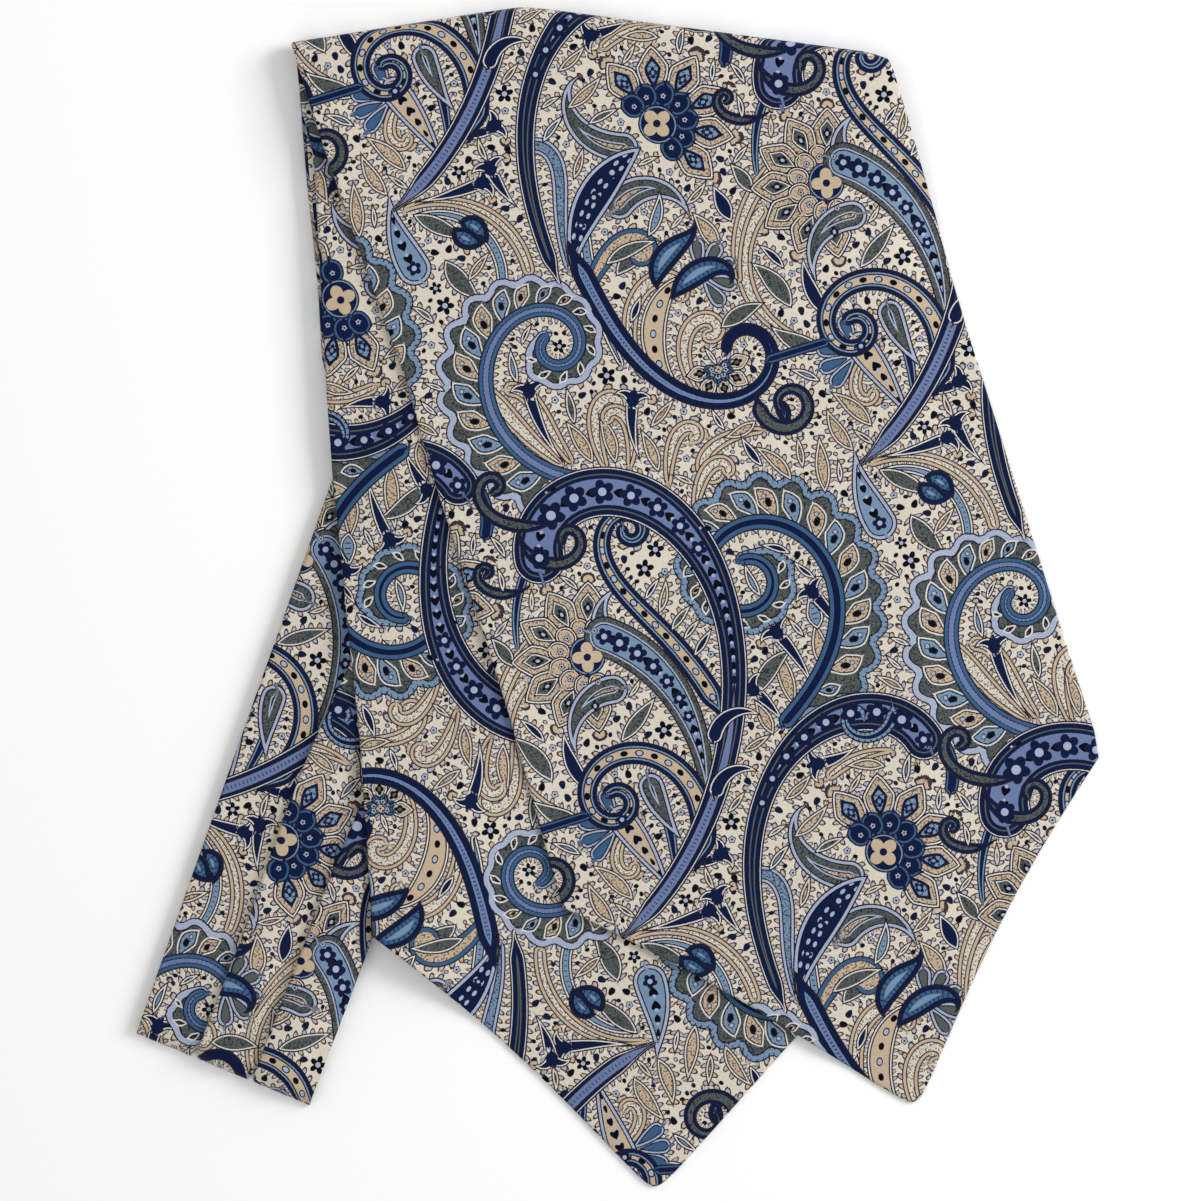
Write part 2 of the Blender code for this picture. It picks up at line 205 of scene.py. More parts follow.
@dataclass
class Blade(Strip):
    """A pointed end: a strip between two edges, cut to a right angle at the tip.

    cuts: for the left and the right cut, its rise for each unit across and its bow inwards.
    edges: distance from the tip, and how far the left and the right edge lie outwards.
    lifts: distance from the tip, length and height of a wave of the left edge.
    creases: place across and along, angle, length, width and height.
    inset: how far inside the top fold it turns. corner: drop of its fold at the right edge.
    """

    half_width: float
    cuts: tuple
    edges: tuple
    lifts: tuple
    creases: tuple
    inset: float = 0.0
    corner: float = 0.0
    print_turned: bool = False
    print_shift: tuple = (0.0, 0.0)

    def spread(self, side, reach):
        """Distance from the axis at the share side, from -1 at the left edge to 1 at the right."""
        left, right = columns_at(self.edges, reach)
        return side * self.half_width + (right * (1 + side) / 2 - left * (1 - side) / 2)

    def fold_at(self, side):
        """Length at which each column meets the top fold, less in the right corner."""
        reach = self.to_fold(lambda along: self.spread(side, along), self.inset)
        near_corner = np.clip((side - 1 + CORNER_SHARE) / CORNER_SHARE, 0, 1)
        return reach - self.corner * near_corner**2

    def point_at(self, side):
        """Length at the two cuts: the rise times a rounded distance across, and the bow."""
        rise, bow = (np.where(side < 0, *pair) for pair in zip(*self.cuts))
        straight = rise * (np.hypot(self.half_width * side, TIP_ROUNDING) - TIP_ROUNDING)
        return straight + bow * np.sin(math.pi * np.abs(side))

    def outside(self, x, y):
        """Distance from the blade's outline, negative inside it."""
        across, reach = self.within(x, y)
        left, right = columns_at(self.edges, reach)
        past_edges = np.maximum(-across - left, across - right) - self.half_width
        return np.maximum(past_edges, (np.abs(across) - reach) / math.sqrt(2))

    def lift(self, side, reach):
        """Waves that raise the left edge, each a bell along it and a bell away from it."""
        from_edge = np.exp(-(((1 + side) * self.half_width / LIFT_WIDTH) ** 2))
        return from_edge * sum(
            rise * np.exp(-(((reach - middle) / length) ** 2)) for middle, length, rise in self.lifts
        )

    def relief(self, x, y):
        return crease_relief(self.creases, *self.within(x, y))


FRONT = Blade(
    tip=(85.2, -143.8),
    lean=17.3,
    half_width=80.0,
    cuts=((1.07, 3.2), (1.01, 4.8)),
    edges=(
        (79, -0.2, -1.3), (86, -0.2, -0.3), (108, -0.8, -0.6), (140, -2, -0.7), (205, -1.4, -0.9),
        (222, -1.8, -0.7), (240, -2.2, 0.3), (265, -1, 0.9), (318, 0.6, 0.8), (345, 0.4, 0.8),
    ),
    lifts=((312, 20, 1.3), (152, 18, 0.9)),
    creases=(
        (-30, 268, 20, 62, 13, -0.35), (22, 236, 128, 70, 12, 0.35), (38, 180, 104, 90, 14, -0.4),
        (-38, 150, 66, 80, 11, 0.4), (-8, 96, 148, 58, 12, -0.3), (30, 90, 60, 60, 13, 0.3),
    ),
    corner=1.5,
)
BACK = Blade(
    tip=(10.5, -168.0),
    lean=2.9,
    half_width=76.3,
    cuts=((1.02, 4.2), (1.02, 0)),
    edges=(
        (76, 0.1, 0), (132, 1.1, 0), (157, 2.5, 0), (187, 4.1, 0), (203, 5, 0), (230, 5.6, 0),
        (298, 5.8, -1), (306, 7.6, -1.5), (314, 8.8, -2), (331, 9.6, -3),
    ),
    lifts=((180, 16, 0.6),),
    creases=((-62, 206, 80, 64, 9, 0.3), (-44, 120, 116, 60, 12, -0.35), (-14, 62, 40, 52, 11, 0.35)),
    inset=BLADE_WALL + BLADE_GAP,
    print_turned=True,
    print_shift=(-64.5, 110.8),
)
BAND = Strip(tip=(-136.8, -123.0), lean=-19.5)


def under_back_blade(x, y):
    """Height of what the back blade lies on, with soft slopes down to the table."""
    across, along = BAND.within(x, y)
    left, right = columns_at(HIDDEN_ROWS, along)
    beyond = np.maximum(np.maximum(across - right, left - across), -along)
    single = HALF_LAYER + GAP + PLEAT_WALL + GAP
    pleats = single + 2 * (PLEAT_WALL + GAP)
    on_pleats = soft_step(across, ON_PLEATS_START) * (1 - soft_step(along, ON_PLEATS_END))
    height = single + (HIDDEN_LAYERS * HALF_LAYER + GAP - single) * soft_step(along, ON_BAND_END)
    height = np.maximum(height, pleats * on_pleats + height * (1 - on_pleats))
    return height * (1 - soft_step(beyond, BESIDE_LAYERS))


def under_front_blade(x, y):
    """Height of what the front blade lies on: the back blade, then the table beside it."""
    on_blade = 1 - soft_step(BACK.outside(x, y), BESIDE_BLADE)
    ridges = np.maximum(BACK.relief(x, y), 0)
    return under_back_blade(x, y) + (BLADE_WALL + BLADE_GAP + ridges) * on_blade


# ---- faces of a shell
@dataclass
class Faces:
    """Faces with the same number of corners: their vertices, and for each corner its place
    on the print, its place on the map of the finish and its layers of the print."""

    corners: np.ndarray
    flat: np.ndarray
    sheet: np.ndarray
    layers: dict = field(default_factory=dict)


def corners_of(grid):
    """The four corners of each face of a grid, anticlockwise seen from outside."""
    found = np.stack((grid[:-1, :-1], grid[:-1, 1:], grid[1:, 1:], grid[1:, :-1]), axis=2)
    return found.reshape(-1, 4, *grid.shape[2:])


def square(columns, rows, low, high):
    """A grid's places on the finish map, between two corners of it."""
    u, v = np.linspace(low[0], high[0], columns), np.linspace(low[1], high[1], rows)
    return np.stack(np.meshgrid(u, v, indexing="ij"), axis=-1)


def border(index):
    """The border of a grid of indices, anticlockwise: down, right, up and back."""
    return np.concatenate((index[0, :-1], index[:-1, -1], index[-1, :0:-1], index[:0:-1, 0]))


def round_about(loop):
    """Steps along a closed loop, from the point before to the point after."""
    return np.roll(loop, -1, axis=0) - np.roll(loop, 1, axis=0)


def blade_grid(blade, under, floor):
    """Outer face of a blade and its places on the print: tucked under the top fold, half a
    circle round it, and over what lies under it to the point."""
    inside = 1 - BLADE_WALL / 2 / blade.half_width
    side = np.linspace(-inside, inside, BLADE_COLUMNS + 1)[:, None]
    fold = blade.fold_at(side)
    crown = under(*blade.place(blade.spread(side, fold), fold)) + BLADE_WALL + blade.lift(side, fold)
    radius = (crown - floor) / 2
    centre = fold - radius
    share = np.linspace(0, 1, LEG_ROWS + 1)[None, :-1]
    leg = (fold - FOLD_LEG + blade.inset + BLADE_WALL / 2) * (1 - share) + centre * share
    turn = np.linspace(-math.pi / 2, math.pi / 2, TURN_ROWS + 1)[None, :]
    share = np.linspace(0, 1, TOP_ROWS + 1)[None, 1:]
    top = centre * (1 - share) + (blade.point_at(side) + BLADE_WALL / math.sqrt(2)) * share
    reach = np.concatenate((leg, centre + radius * np.cos(turn), top), axis=1)
    sides = np.broadcast_to(side, reach.shape)
    across = blade.spread(sides, reach)
    x, y = blade.place(across, reach)
    lying = under(x, y) + BLADE_WALL + blade.lift(sides, reach) + blade.relief(x, y)
    turn_height = floor + radius * (1 + np.sin(turn))
    z = np.concatenate((np.full(leg.shape, floor), turn_height, lying[:, -TOP_ROWS:]), axis=1)
    under_fold = 2 * centre + radius * math.pi - leg
    along = np.concatenate((under_fold, centre + radius * (math.pi / 2 - turn), top), axis=1)
    flat = np.stack((across, along), axis=-1) * (-1 if blade.print_turned else 1)
    return np.stack((x, y, z), axis=-1), flat + blade.print_shift


def blade_shell(points, flat):
    """Closes the outer face with a half round rim and a coarser underside one wall below."""
    columns, rows = points.shape[:2]
    by = UNDERSIDE_STEP
    normals = unit(np.cross(np.gradient(points, axis=1), np.gradient(points, axis=0)))
    below = (points - BLADE_WALL * normals)[::by, ::by]
    index = np.arange(columns * rows).reshape(columns, rows)
    edge = border(index)
    rim, up, rim_flat = (grid.reshape(columns * rows, -1)[edge] for grid in (points, normals, flat))
    outwards = unit(np.cross(round_about(rim), up))
    angles = np.radians(RIM_ANGLES)[:, None, None]
    rings = rim + BLADE_WALL / 2 * (np.sin(angles) * outwards - (1 - np.cos(angles)) * up)
    ring_index = index.size + np.arange(rings[..., 0].size).reshape(rings.shape[:2])
    below_index = index.size + ring_index.size + np.arange(below[..., 0].size).reshape(below.shape[:2])
    ring_index = np.stack((edge, *ring_index), axis=1)
    ring_index = np.concatenate((ring_index, ring_index[:1]))
    coarse = border(below_index)
    coarse = np.append(coarse, coarse[0])
    ring_flat, ring_sheet = rim_places(rim_flat, len(RIM_ANGLES) + 2)
    top = (index, flat, square(columns, rows, (0, 0.24), (1, 1)))
    below_sheet = square(*below.shape[:2], (0, 0), (1, 0.18))
    underside = (below_index, flat[::by, ::by] + UNDERSIDE_SHIFT, below_sheet)
    rim_grids = (ring_index, ring_flat[:, :-1], ring_sheet[:, :-1])
    closing = (closing_faces(ring_index[:, -1], coarse),)
    closing += tuple(closing_faces(grid[:, -2], grid[::by, -1]) for grid in (ring_flat, ring_sheet))
    groups = (
        Faces(*map(corners_of, top)),
        Faces(*map(corners_of, rim_grids)),
        Faces(*(corners_of(grid)[:, ::-1] for grid in underside)),
        Faces(*closing),
    )
    return np.concatenate([grid.reshape(-1, 3) for grid in (points, rings, below)]), groups


def rim_places(rim_flat, levels):
    """Places of the rim on the print and on the finish map: outwards from each border vertex
    by the length round the rim. The first vertex comes again at the end."""
    ahead = round_about(rim_flat)
    outwards = unit(np.stack((ahead[:, 1], -ahead[:, 0]), axis=-1))
    run = np.linspace(0, math.pi * BLADE_WALL / 2, levels)
    flat = rim_flat[:, None] + outwards[:, None] * run[None, :, None]
    sheet = square(len(rim_flat) + 1, levels, (0, 0.235), (1, 0.185))
    return np.concatenate((flat, flat[:1])), sheet


def closing_faces(fine, coarse):
    """Five-cornered faces between the last fine ring and the coarser underside."""
    by = UNDERSIDE_STEP
    return np.stack((fine[:-1:by], coarse[:-1], coarse[1:], fine[by::by], fine[1::by]), axis=1)


def loft(loops, flat, start):
    """A body through closed sections, closed at both ends by ladders of faces.

    A section runs over its top from left to right and back along its underside. start is the
    vertex at which the ladders begin. flat has one column more than the section, because
    the last one meets the first.
    """
    sections, around = loops.shape[:2]
    index = np.arange(sections * around).reshape(sections, around)
    closed = np.concatenate((index, index[:, :1]), axis=1)
    sides = (closed, flat, square(sections, around + 1, (0.04, 0), (1, 1)))
    groups = [Faces(*(corners_of(grid)[:, ::-1] for grid in sides))]
    rung = np.arange(around // 2 - 1)
    ladder = np.stack((start + rung, start + rung + 1, start - 2 - rung, start - 1 - rung), axis=1) % around
    low, high = rung / len(rung), (rung + 1) / len(rung)
    for section, left, right in ((0, 0.0, 0.015), (-1, 0.02, 0.035)):
        cap = ((left, low), (left, high), (right, high), (right, low))
        cap = np.stack([np.stack(np.broadcast_arrays(*place), axis=-1) for place in cap], axis=1)
        faces = (index[section][ladder], flat[section, :-1][ladder], cap)
        groups.append(Faces(*(grid if section else grid[:, ::-1] for grid in faces)))
    return loops.reshape(-1, 3), groups


def hidden_shell():
    """The hidden layers: sections across the band and the fan, with rounded double edges."""
    across = np.linspace(0, 1, HIDDEN_ACROSS)

    def edge_to_edge(along):
        left, right = columns_at(HIDDEN_ROWS, along)
        return left + (right - left) * across

    reach = BAND.to_fold(edge_to_edge, FOLD_LEG + LEG_CLEARANCE)
    start = HALF_LAYER + 3 * (PLEAT_WALL + GAP) + GAP
    stop = BAND_LENGTH + LAYER_CLEARANCE
    fan = stop + LAYER_STEP
    both = HIDDEN_LAYERS * HALF_LAYER
    shares = np.linspace(0, 1, HIDDEN_STEPS)
    rows = [(start + inwards, HALF_LAYER, full) for inwards, full in ROUND_END]
    rows += [(start + (stop - start) * share, HALF_LAYER, 1) for share in shares[1:]]
    rows += [(fan + (reach - fan) * share, both, 1) for share in shares[:-1]]
    rows += [(reach - inwards, both, full) for inwards, full in ROUND_END[::-1]]
    loops, flat = zip(*(hidden_section(across, *row) for row in rows))
    return loft(np.stack(loops), np.stack(flat) + HIDDEN_SHIFT, -len(HIDDEN_EDGE_ANGLES))


def hidden_section(across, along, height, full):
    """One section, flat above and below, with two rounded edges one over the other, and its
    places on the print. full is below 1 where the section closes at an end."""
    along = np.broadcast_to(along, across.shape)
    left, right = columns_at(HIDDEN_ROWS, along)
    left, right = left + EDGE_ROUNDING, right - EDGE_ROUNDING
    angles = np.radians(HIDDEN_EDGE_ANGLES)
    out = EDGE_ROUNDING * np.tile(np.cos(angles), 2)
    lobe = height / HIDDEN_LAYERS / 2 * (1 + np.sin(angles))
    side = np.concatenate((height - height / HIDDEN_LAYERS + lobe, lobe))
    flat = left + (right - left) * across
    u = np.concatenate((flat, right[-1] + out, flat[::-1], left[0] - out))
    v = np.concatenate((along, np.full(out.size, along[-1]), along[::-1], np.full(out.size, along[0])))
    z = np.concatenate((np.full(across.size, height), side, np.zeros(across.size), side[::-1]))
    z = height / 2 + (z - height / 2) * full
    x, y = BAND.place(u, v)
    run = summed(np.hypot(np.diff(u, append=u[:1]), np.diff(z, append=z[:1]))) + left[0]
    return np.stack((x, y, z), axis=-1), np.stack((run, np.append(v, v[0])), axis=-1)


def pleat_line(middle, right, edge):
    """Middle line of the cloth across the band: three strips joined by two folds in a Z, each
    of two half circles, and soft slopes down to the next."""
    pitch = PLEAT_WALL + GAP
    low = PLEAT_WALL / 2
    high = low + 2 * pitch
    turn = np.linspace(-math.pi / 2, math.pi / 2, PLEAT_POINTS)
    bulge, climb = pitch / 2 * np.cos(turn), pitch / 2 * (1 + np.sin(turn))
    share = np.linspace(0, 1, PLEAT_POINTS)
    pieces = [(np.linspace(0, middle - SLOPE_END, PLEAT_POINTS + 4), low)]
    for start, end in ((middle, right), (right, edge)):
        slope = (start + SLOPE_START) + (end - SLOPE_END - start - SLOPE_START) * share
        pieces += [
            (np.linspace(start - UNDER_FOLD, start + PLEAT_DEPTH - 1, 4), low),
            (start + PLEAT_DEPTH + bulge, low + climb),
            (start + (pitch + PLEAT_WALL) / 2 - bulge, low + pitch + climb),
            (np.linspace(start + 2, start + SLOPE_START - 0.8, 6), high),
            (slope, high + (low - high) * ease(share)),
        ]
    pieces.append((np.array((edge,)), low))
    return np.concatenate([np.stack(np.broadcast_arrays(*piece), axis=-1) for piece in pieces])


def pleat_section(middle, right, edge):
    """The middle line given its wall, over its upper face and back along the under face, and
    the length of cloth up to each point."""
    line = pleat_line(middle, right, edge)
    wall = directions(line)[1] * PLEAT_WALL / 2
    run = lengths(line)
    for point, jump in PLEAT_JUMPS:
        run[point:] += jump
    section = np.concatenate((line + wall, (line - wall)[::-1]))
    return section.T, np.concatenate((run, run[::-1], run[:1]))


def crown_of_band(across, middle, right, edge):
    """Height of the band's upper face over its underside: one layer, or three on a pleat."""
    on_pleat = 0
    for start, end in ((middle, right), (right, edge)):
        rise = ease((across - start + SLOPE_END) / (SLOPE_END - UNDER_FOLD))
        fall = ease((across - start - SLOPE_START) / (end - SLOPE_END - start - SLOPE_START))
        on_pleat = on_pleat + rise * (1 - fall)
    return PLEAT_WALL + 2 * (PLEAT_WALL + GAP) * on_pleat


def band_shell():
    """The neck band: its pleated section carried a quarter circle up from the table at the
    band's own fold, and on to its end under the back blade."""
    floor = HALF_LAYER + GAP
    rows = [(turn, 0.0) for turn in np.linspace(math.pi / 2, 0, BAND_TURN_ROWS)]
    rows += [(0.0, share) for share in np.linspace(0, 1, BAND_ROWS)[1:]]
    loops, flat = [], []
    for turn, share in rows:
        (across, rise), run = pleat_section(*columns_at(PLEAT_ROWS, share * BAND_LENGTH))
        height = floor + rise
        radius = floor + crown_of_band(across, *columns_at(PLEAT_ROWS, 0))
        fold = BAND_END + BAND_END_SKEW * across / PLEAT_ROWS[0][-1] + radius
        along = (fold - height * math.sin(turn)) * (1 - share) + BAND_LENGTH * share
        relief = crease_relief(BAND_CREASES, across, along) if share else 0
        x, y = BAND.place(across, along)
        loops.append(np.stack((x, y, height * math.cos(turn) + relief), axis=-1))
        cloth = (fold - radius * turn) * (1 - share) + BAND_LENGTH * share
        flat.append(np.stack((run, np.append(cloth, cloth[0])), axis=-1))
    return loft(np.stack(loops), np.stack(flat) + BAND_SHIFT, 0)


# ---- inks, and styles of stroke
INKS = {
    "ground": "#d5cdbd", "line": "#221f2b", "ivory": "#d6d2cc", "tan": "#c0ac92", "navy": "#0e1a3d",
    "ink": "#070a16", "periwinkle": "#6979a2", "lavender": "#a3adc5", "sky": "#748eaa", "steel": "#3a5c81",
    "slate": "#545b58", "thorn": "#b0abb4", "umber": "#3b323a",
}
INK_NAMES = tuple(INKS)
# Bands from the edge inwards: ink, with the pattern in it if any, and width in mm. The last
# one fills the rest.
STYLES = {
    "trunk": "line 0.4, ivory 0.25, navy 1.4, slate 0.4, navy 1, periwinkle+hearts",
    "stem": "line 0.4, navy 1.6, sky 0.2, periwinkle+dashes",
    "stem_light": "line 0.38, periwinkle+dashes",
    "crook_blue": "line 0.4, steel 0.9, ink 0.2, periwinkle+dashes",
    "crook_navy": "line 0.4, steel 1.1, ink 0.2, navy",
    "scallop_pale": "line 0.34, lavender 1.5, line 0.4, slate+stipple",
    "scallop_sky": "line 0.34, sky+ticks 1.5, line 0.4, slate+stipple",
    "petal_tan": "ivory 0.4, line 0.35, tan+specks",
    "petal_sky": "ivory 0.4, line 0.4, sky+ticks",
    "petal_small": "line 0.38, ivory 0.35, line 0.2, tan",
    "bloom_navy": "line 0.4, ivory 0.45, line 0.35, tan+specks 1.3, navy+ticks 0.85, sky+ticks",
    "bloom_tan": "line 0.4, ivory 0.4, line 0.35, tan+specks 1.25, line 0.4, ivory 0.3, slate+stipple",
    "heart": "line 0.4, sky 0.35, navy",
    "lobe_navy": "line 0.4, steel 0.5, navy",
    "lobe_tan": "line 0.4, ivory 0.3, line 0.35, tan+ticks",
    "boteh_grey": "line 0.4, lavender 0.75, line 0.35, slate+stipple 1.6, lavender 0.4, line 0.35, "
    "tan+stipple",
    "boteh_tan": "line 0.4, lavender 0.7, line 0.35, tan+hearts",
    "boteh_navy": "line 0.4, lavender 0.85, ink 0.2, navy+grains",
    "boteh_sky": "line 0.4, lavender 0.8, line 0.38, sky+hearts",
    "boteh_long": "line 0.4, slate+stipple 1.3, lavender 0.4, line 0.35, sky+hearts",
    "strand_tan": "umber 0.38, tan 0.75, umber 0.34, ground+specks",
    "strand_bead": "line 0.38, ivory 0.4, line 0.38, tan+beads",
    "strand_blue": "line 0.38, ivory 0.4, line 0.35, sky+ticks",
    "strand_sky": "line 0.38, lavender 0.6, line 0.38, sky+stipple",
    "strand_steel": "line 0.38, steel 0.95, ink 0.2, tan+specks",
    "strand_navy": "line 0.38, sky 0.35, navy",
    "scroll": "line 0.4, navy 0.9, sky 0.4, line 0.38, tan+beads",
    "knot": "navy",
    "leaf_navy": "line 0.35, ivory 0.35, navy",
    "leaf_tan": "umber 0.36, ground 0.4, umber 0.34, tan+specks",
    "leaf_grey": "line 0.38, ivory 0.35, slate+stipple",
    "leaf_blue": "line 0.4, navy 0.9, ink 0.2, steel+ticks 1.2, sky",
    "vine_grey": "line 0.4, navy 0.75, slate+stipple",
    "vine_navy": "line 0.4, steel 0.45, navy",
    "hook_sky": "line 0.4, sky+ticks 0.75, navy",
    "shell": "line 0.38, lavender 0.6, line 0.35, slate",
    "shell_blue": "line 0.38, lavender 0.45, line 0.35, steel",
}
STYLE_NAMES = tuple(STYLES)
PATTERNS = ("plain", "ticks", "stipple", "dashes", "beads", "hearts", "grains", "specks")
# Profile of a kind of stroke whose row names none
USUAL_PROFILES = {"strand": "strand", "leaf": "leaf", "boteh": "drop", "vine": "taper", "scroll": "taper"}

# ---- the print, a half-drop repeat: these two steps across and along bring it onto itself
REPEAT = np.array(((105.0, 108.5), (105.0, -108.5)))
STROKE_STEP = 0.7
CURL_POWER = 5
THINNEST = 0.03
# Collars of the crooks: width, share of the length where they narrow, and pitch of the petals
COLLAR = 11.8
COLLAR_FADE = 0.5
PETAL_PITCH = 10.0


@dataclass
class Stroke:
    """A shape drawn round a middle line, with its own half width on each side of it.

    fringe says whether small thorns grow from its outline, and run is the length up to each
    point that their spacing follows.
    """

    points: np.ndarray
    left: np.ndarray
    right: np.ndarray
    style: str
    fringe: bool = True
    run: np.ndarray = None


@dataclass
class Mark:
    """A small figure: a disc with lobes, drawn out along its angle and tapered."""

    x: float
    y: float
    angle: float
    radius: float
    lobes: float
    depth: float
    stretch: float
    taper: float
    fill: str
    core: str
    core_share: float


def rounded(share, foot, wide, power):
    """A quarter sine from the foot's width to 1, then down to nothing as a power."""
    rise = foot + (1 - foot) * np.sin(np.pi / 2 * np.minimum(share / wide, 1))
    return rise * np.clip((1 - share) / (1 - wide), 0, 1) ** power


PROFILES = {
    "even": lambda t: np.ones_like(t),
    "leaf": lambda t: np.sin(np.pi * t**0.8),
    "dagger": lambda t: np.sin(np.pi * t**1.3) ** 0.8,
    "petal": lambda t: rounded(t, 0.35, 0.6, 0.7),
    "ogee": lambda t: rounded(t, 0.45, 0.55, 0.72),
    "drop": lambda t: 0.12 + 0.88 * np.sin(np.pi / 2 * t) ** 1.2,
    "taper": lambda t: (0.3 + 0.7 * ease(t / 0.09)) * (1 - 0.45 * t**1.5),
    "strand": lambda t: 0.35 + 0.65 * np.sin(np.pi * (0.1 + 0.55 * t)),
    "swell": lambda t: (0.3 + 0.7 * ease(t / 0.07)) * (0.38 + 0.3 * t + 0.32 * ease((t - 0.5) / 0.35)),
    "hook": lambda t: (0.2 + 0.8 * ease(t / 0.35)) * (1 - 0.35 * t),
    "tusk": lambda t: np.cos(np.pi / 2 * t) ** 0.8,
}


def sweep(x, y, heading, length, bend=0, curl=0, delay=1):
    """A middle line that leaves (x, y) at a heading in degrees. It turns by bend times the
    share of the length to the power delay, and by curl times its fifth power at the end."""
    count = max(int(length / STROKE_STEP), 5)
    share = (np.arange(count) + 0.5) / count
    angle = np.radians(heading + bend * share**delay + curl * share**CURL_POWER)
    return summed(np.stack((np.cos(angle), np.sin(angle)), axis=-1) * length / count) + (x, y)


def stroke(style, x, y, heading, length, width, bend=0, curl=0, profile="", delay=1, fringe=True):
    """A stroke with one profile on both sides of its middle line."""
    points = sweep(x, y, heading, length, bend, curl, delay)
    shape = PROFILES[profile or USUAL_PROFILES[style.split("_")[0]]]
    half = np.maximum(width * shape(np.linspace(0, 1, len(points))), THINNEST)
    return Stroke(points, half, half, style, fringe)


def strokes_of(rows):
    return [stroke(*row) for row in rows]


def from_place(x, y, angle, distance):
    """The place at a distance from another, at an angle in degrees."""
    turn = math.radians(angle)
    return x + distance * math.cos(turn), y + distance * math.sin(turn)


def heading_of(steps):
    return np.degrees(np.arctan2(steps[..., 1], steps[..., 0]))


def crook(rim, stem, inks, line, half):
    """A curling stem with a collar on its outer side: a scalloped band, a ring of petals on
    it and the stem on top."""
    run = lengths(line)
    share = run / run[-1]
    units, lefts = directions(line)
    heading = np.unwrap(np.radians(heading_of(units)))
    side = 1 if heading[-1] < heading[0] else -1
    reach = COLLAR * ease(share / 0.14) * (1 - 0.62 * ease((share - COLLAR_FADE) / 0.3))
    reach *= 1 - ease((share - 0.93) / 0.07)
    outer_steps = np.diff(run) * (1 + reach[1:] * np.abs(np.gradient(heading, run))[1:])
    phase = summed(outer_steps / (PETAL_PITCH * (0.55 + 0.45 * reach[1:] / COLLAR)))
    outside = half + reach * (0.78 + 0.26 * np.abs(np.sin(np.pi * phase)) ** 0.8)
    both = (outside, np.full_like(outside, half * 0.5))[::side]
    strokes, marks = [Stroke(line, *both, rim, True, summed(outer_steps))], []
    for count in range(1, int(phase[-1] * 1.12)):
        index = int(np.interp((count + 0.1) / 1.12, phase, np.arange(len(line))))
        size = reach[index]
        if size < COLLAR * 0.3:
            continue
        base = line[index] + lefts[index] * side * (half - 0.4)
        lean = heading_of(units[index]) + side * 62
        sizes = (size * 0.84, size * 0.25)
        leaf = stroke(inks[count % 2], *base, lean, *sizes, -side * 38, 0, "petal", 1, False)
        strokes.append(leaf)
        near, far = leaf.points[len(leaf.points) * 2 // 5], leaf.points[len(leaf.points) * 5 // 8]
        scale = size / COLLAR
        marks.append(Mark(*near, lean, 0.95 * scale, 0, 0, 1.5, 0, "ink", "ink", 0.1))
        marks.append(Mark(*far, lean, 0.75 * scale, 5, 0.15, 1, 0, "lavender", "lavender", 0.2))
    width = half * (1 - 0.28 * share**2)
    return [*strokes, Stroke(line, width, width, stem)], marks


def bloom(style, x, y, first, last, count, inner, length, width, lobe, lobe_half, core):
    """A fan of pointed petals, a ring of round lobes on their feet and a star in the middle."""
    strokes, marks = [], []
    angles = np.linspace(first, last, count)
    for angle in angles:
        base = from_place(x, y, angle, inner)
        strokes.append(stroke(style, *base, angle, length, width, 0, 0, "ogee"))
        spot = from_place(*base, angle, length * 0.42)
        marks.append(Mark(*spot, angle, 1.0, 4, 0.25, 1.4, 0, *core, 0.45))
    for angle in (*(angles[:-1] + np.diff(angles) / 2), first - 14, last + 14):
        spot = from_place(x, y, angle, inner - 0.6)
        strokes.append(stroke(lobe, *spot, angle, 0.8, lobe_half, 0, 0, "even", 1, False))
        marks.append(Mark(*spot, angle, 0.85, 5, 0.2, 1, 0, "lavender", "ink", 0.35))
    strokes.append(stroke("heart", x, y, first, 0.8, inner * 0.62, 0, 0, "even", 1, False))
    marks.append(Mark(x, y, (first + last) / 2, inner * 0.42, 4, 0.3, 1, 0, "tan", "navy", 0.3))
    return strokes, marks


def fan(style, x, y, first, last, length, width):
    """Five narrow round-ended petals spread from one foot."""
    angles = np.linspace(first, last, 5)
    return [stroke(style, x, y, angle, length, width, 0, 0, "drop") for angle in angles], []


def fork(x, y, heading, length, bend, width=2.2):
    """A dark leaf on a slim stem, whose tip opens into two points."""
    stem = stroke("leaf_navy", x, y, heading, length, width * 0.9, bend, 0, "drop")
    angle = heading + bend
    foot = from_place(*stem.points[-1], angle, 0.2)
    ears = [
        stroke("leaf_navy", *foot, angle + side * 25, width * 3, width * 0.8, side * 110, 0, "tusk")
        for side in (-1, 1)
    ]
    return [stem, *ears, stroke("knot", *foot, angle, 1.0, width * 0.8, 0, 0, "even", 1, False)], []


def flower_row(line, first, last, count, size):
    """Dark flowers with pale hearts along a middle line, smaller towards its start."""
    run = lengths(line)
    marks = []
    for share in np.linspace(first, last, count):
        place = [np.interp(share * run[-1], run, axis) for axis in line.T]
        grown = size * (0.6 + 0.4 * (share - first) / (last - first))
        marks.append(Mark(*place, 40 * share * count, grown, 5, 0.22, 1, 0, "navy", "lavender", 0.4))
    return marks


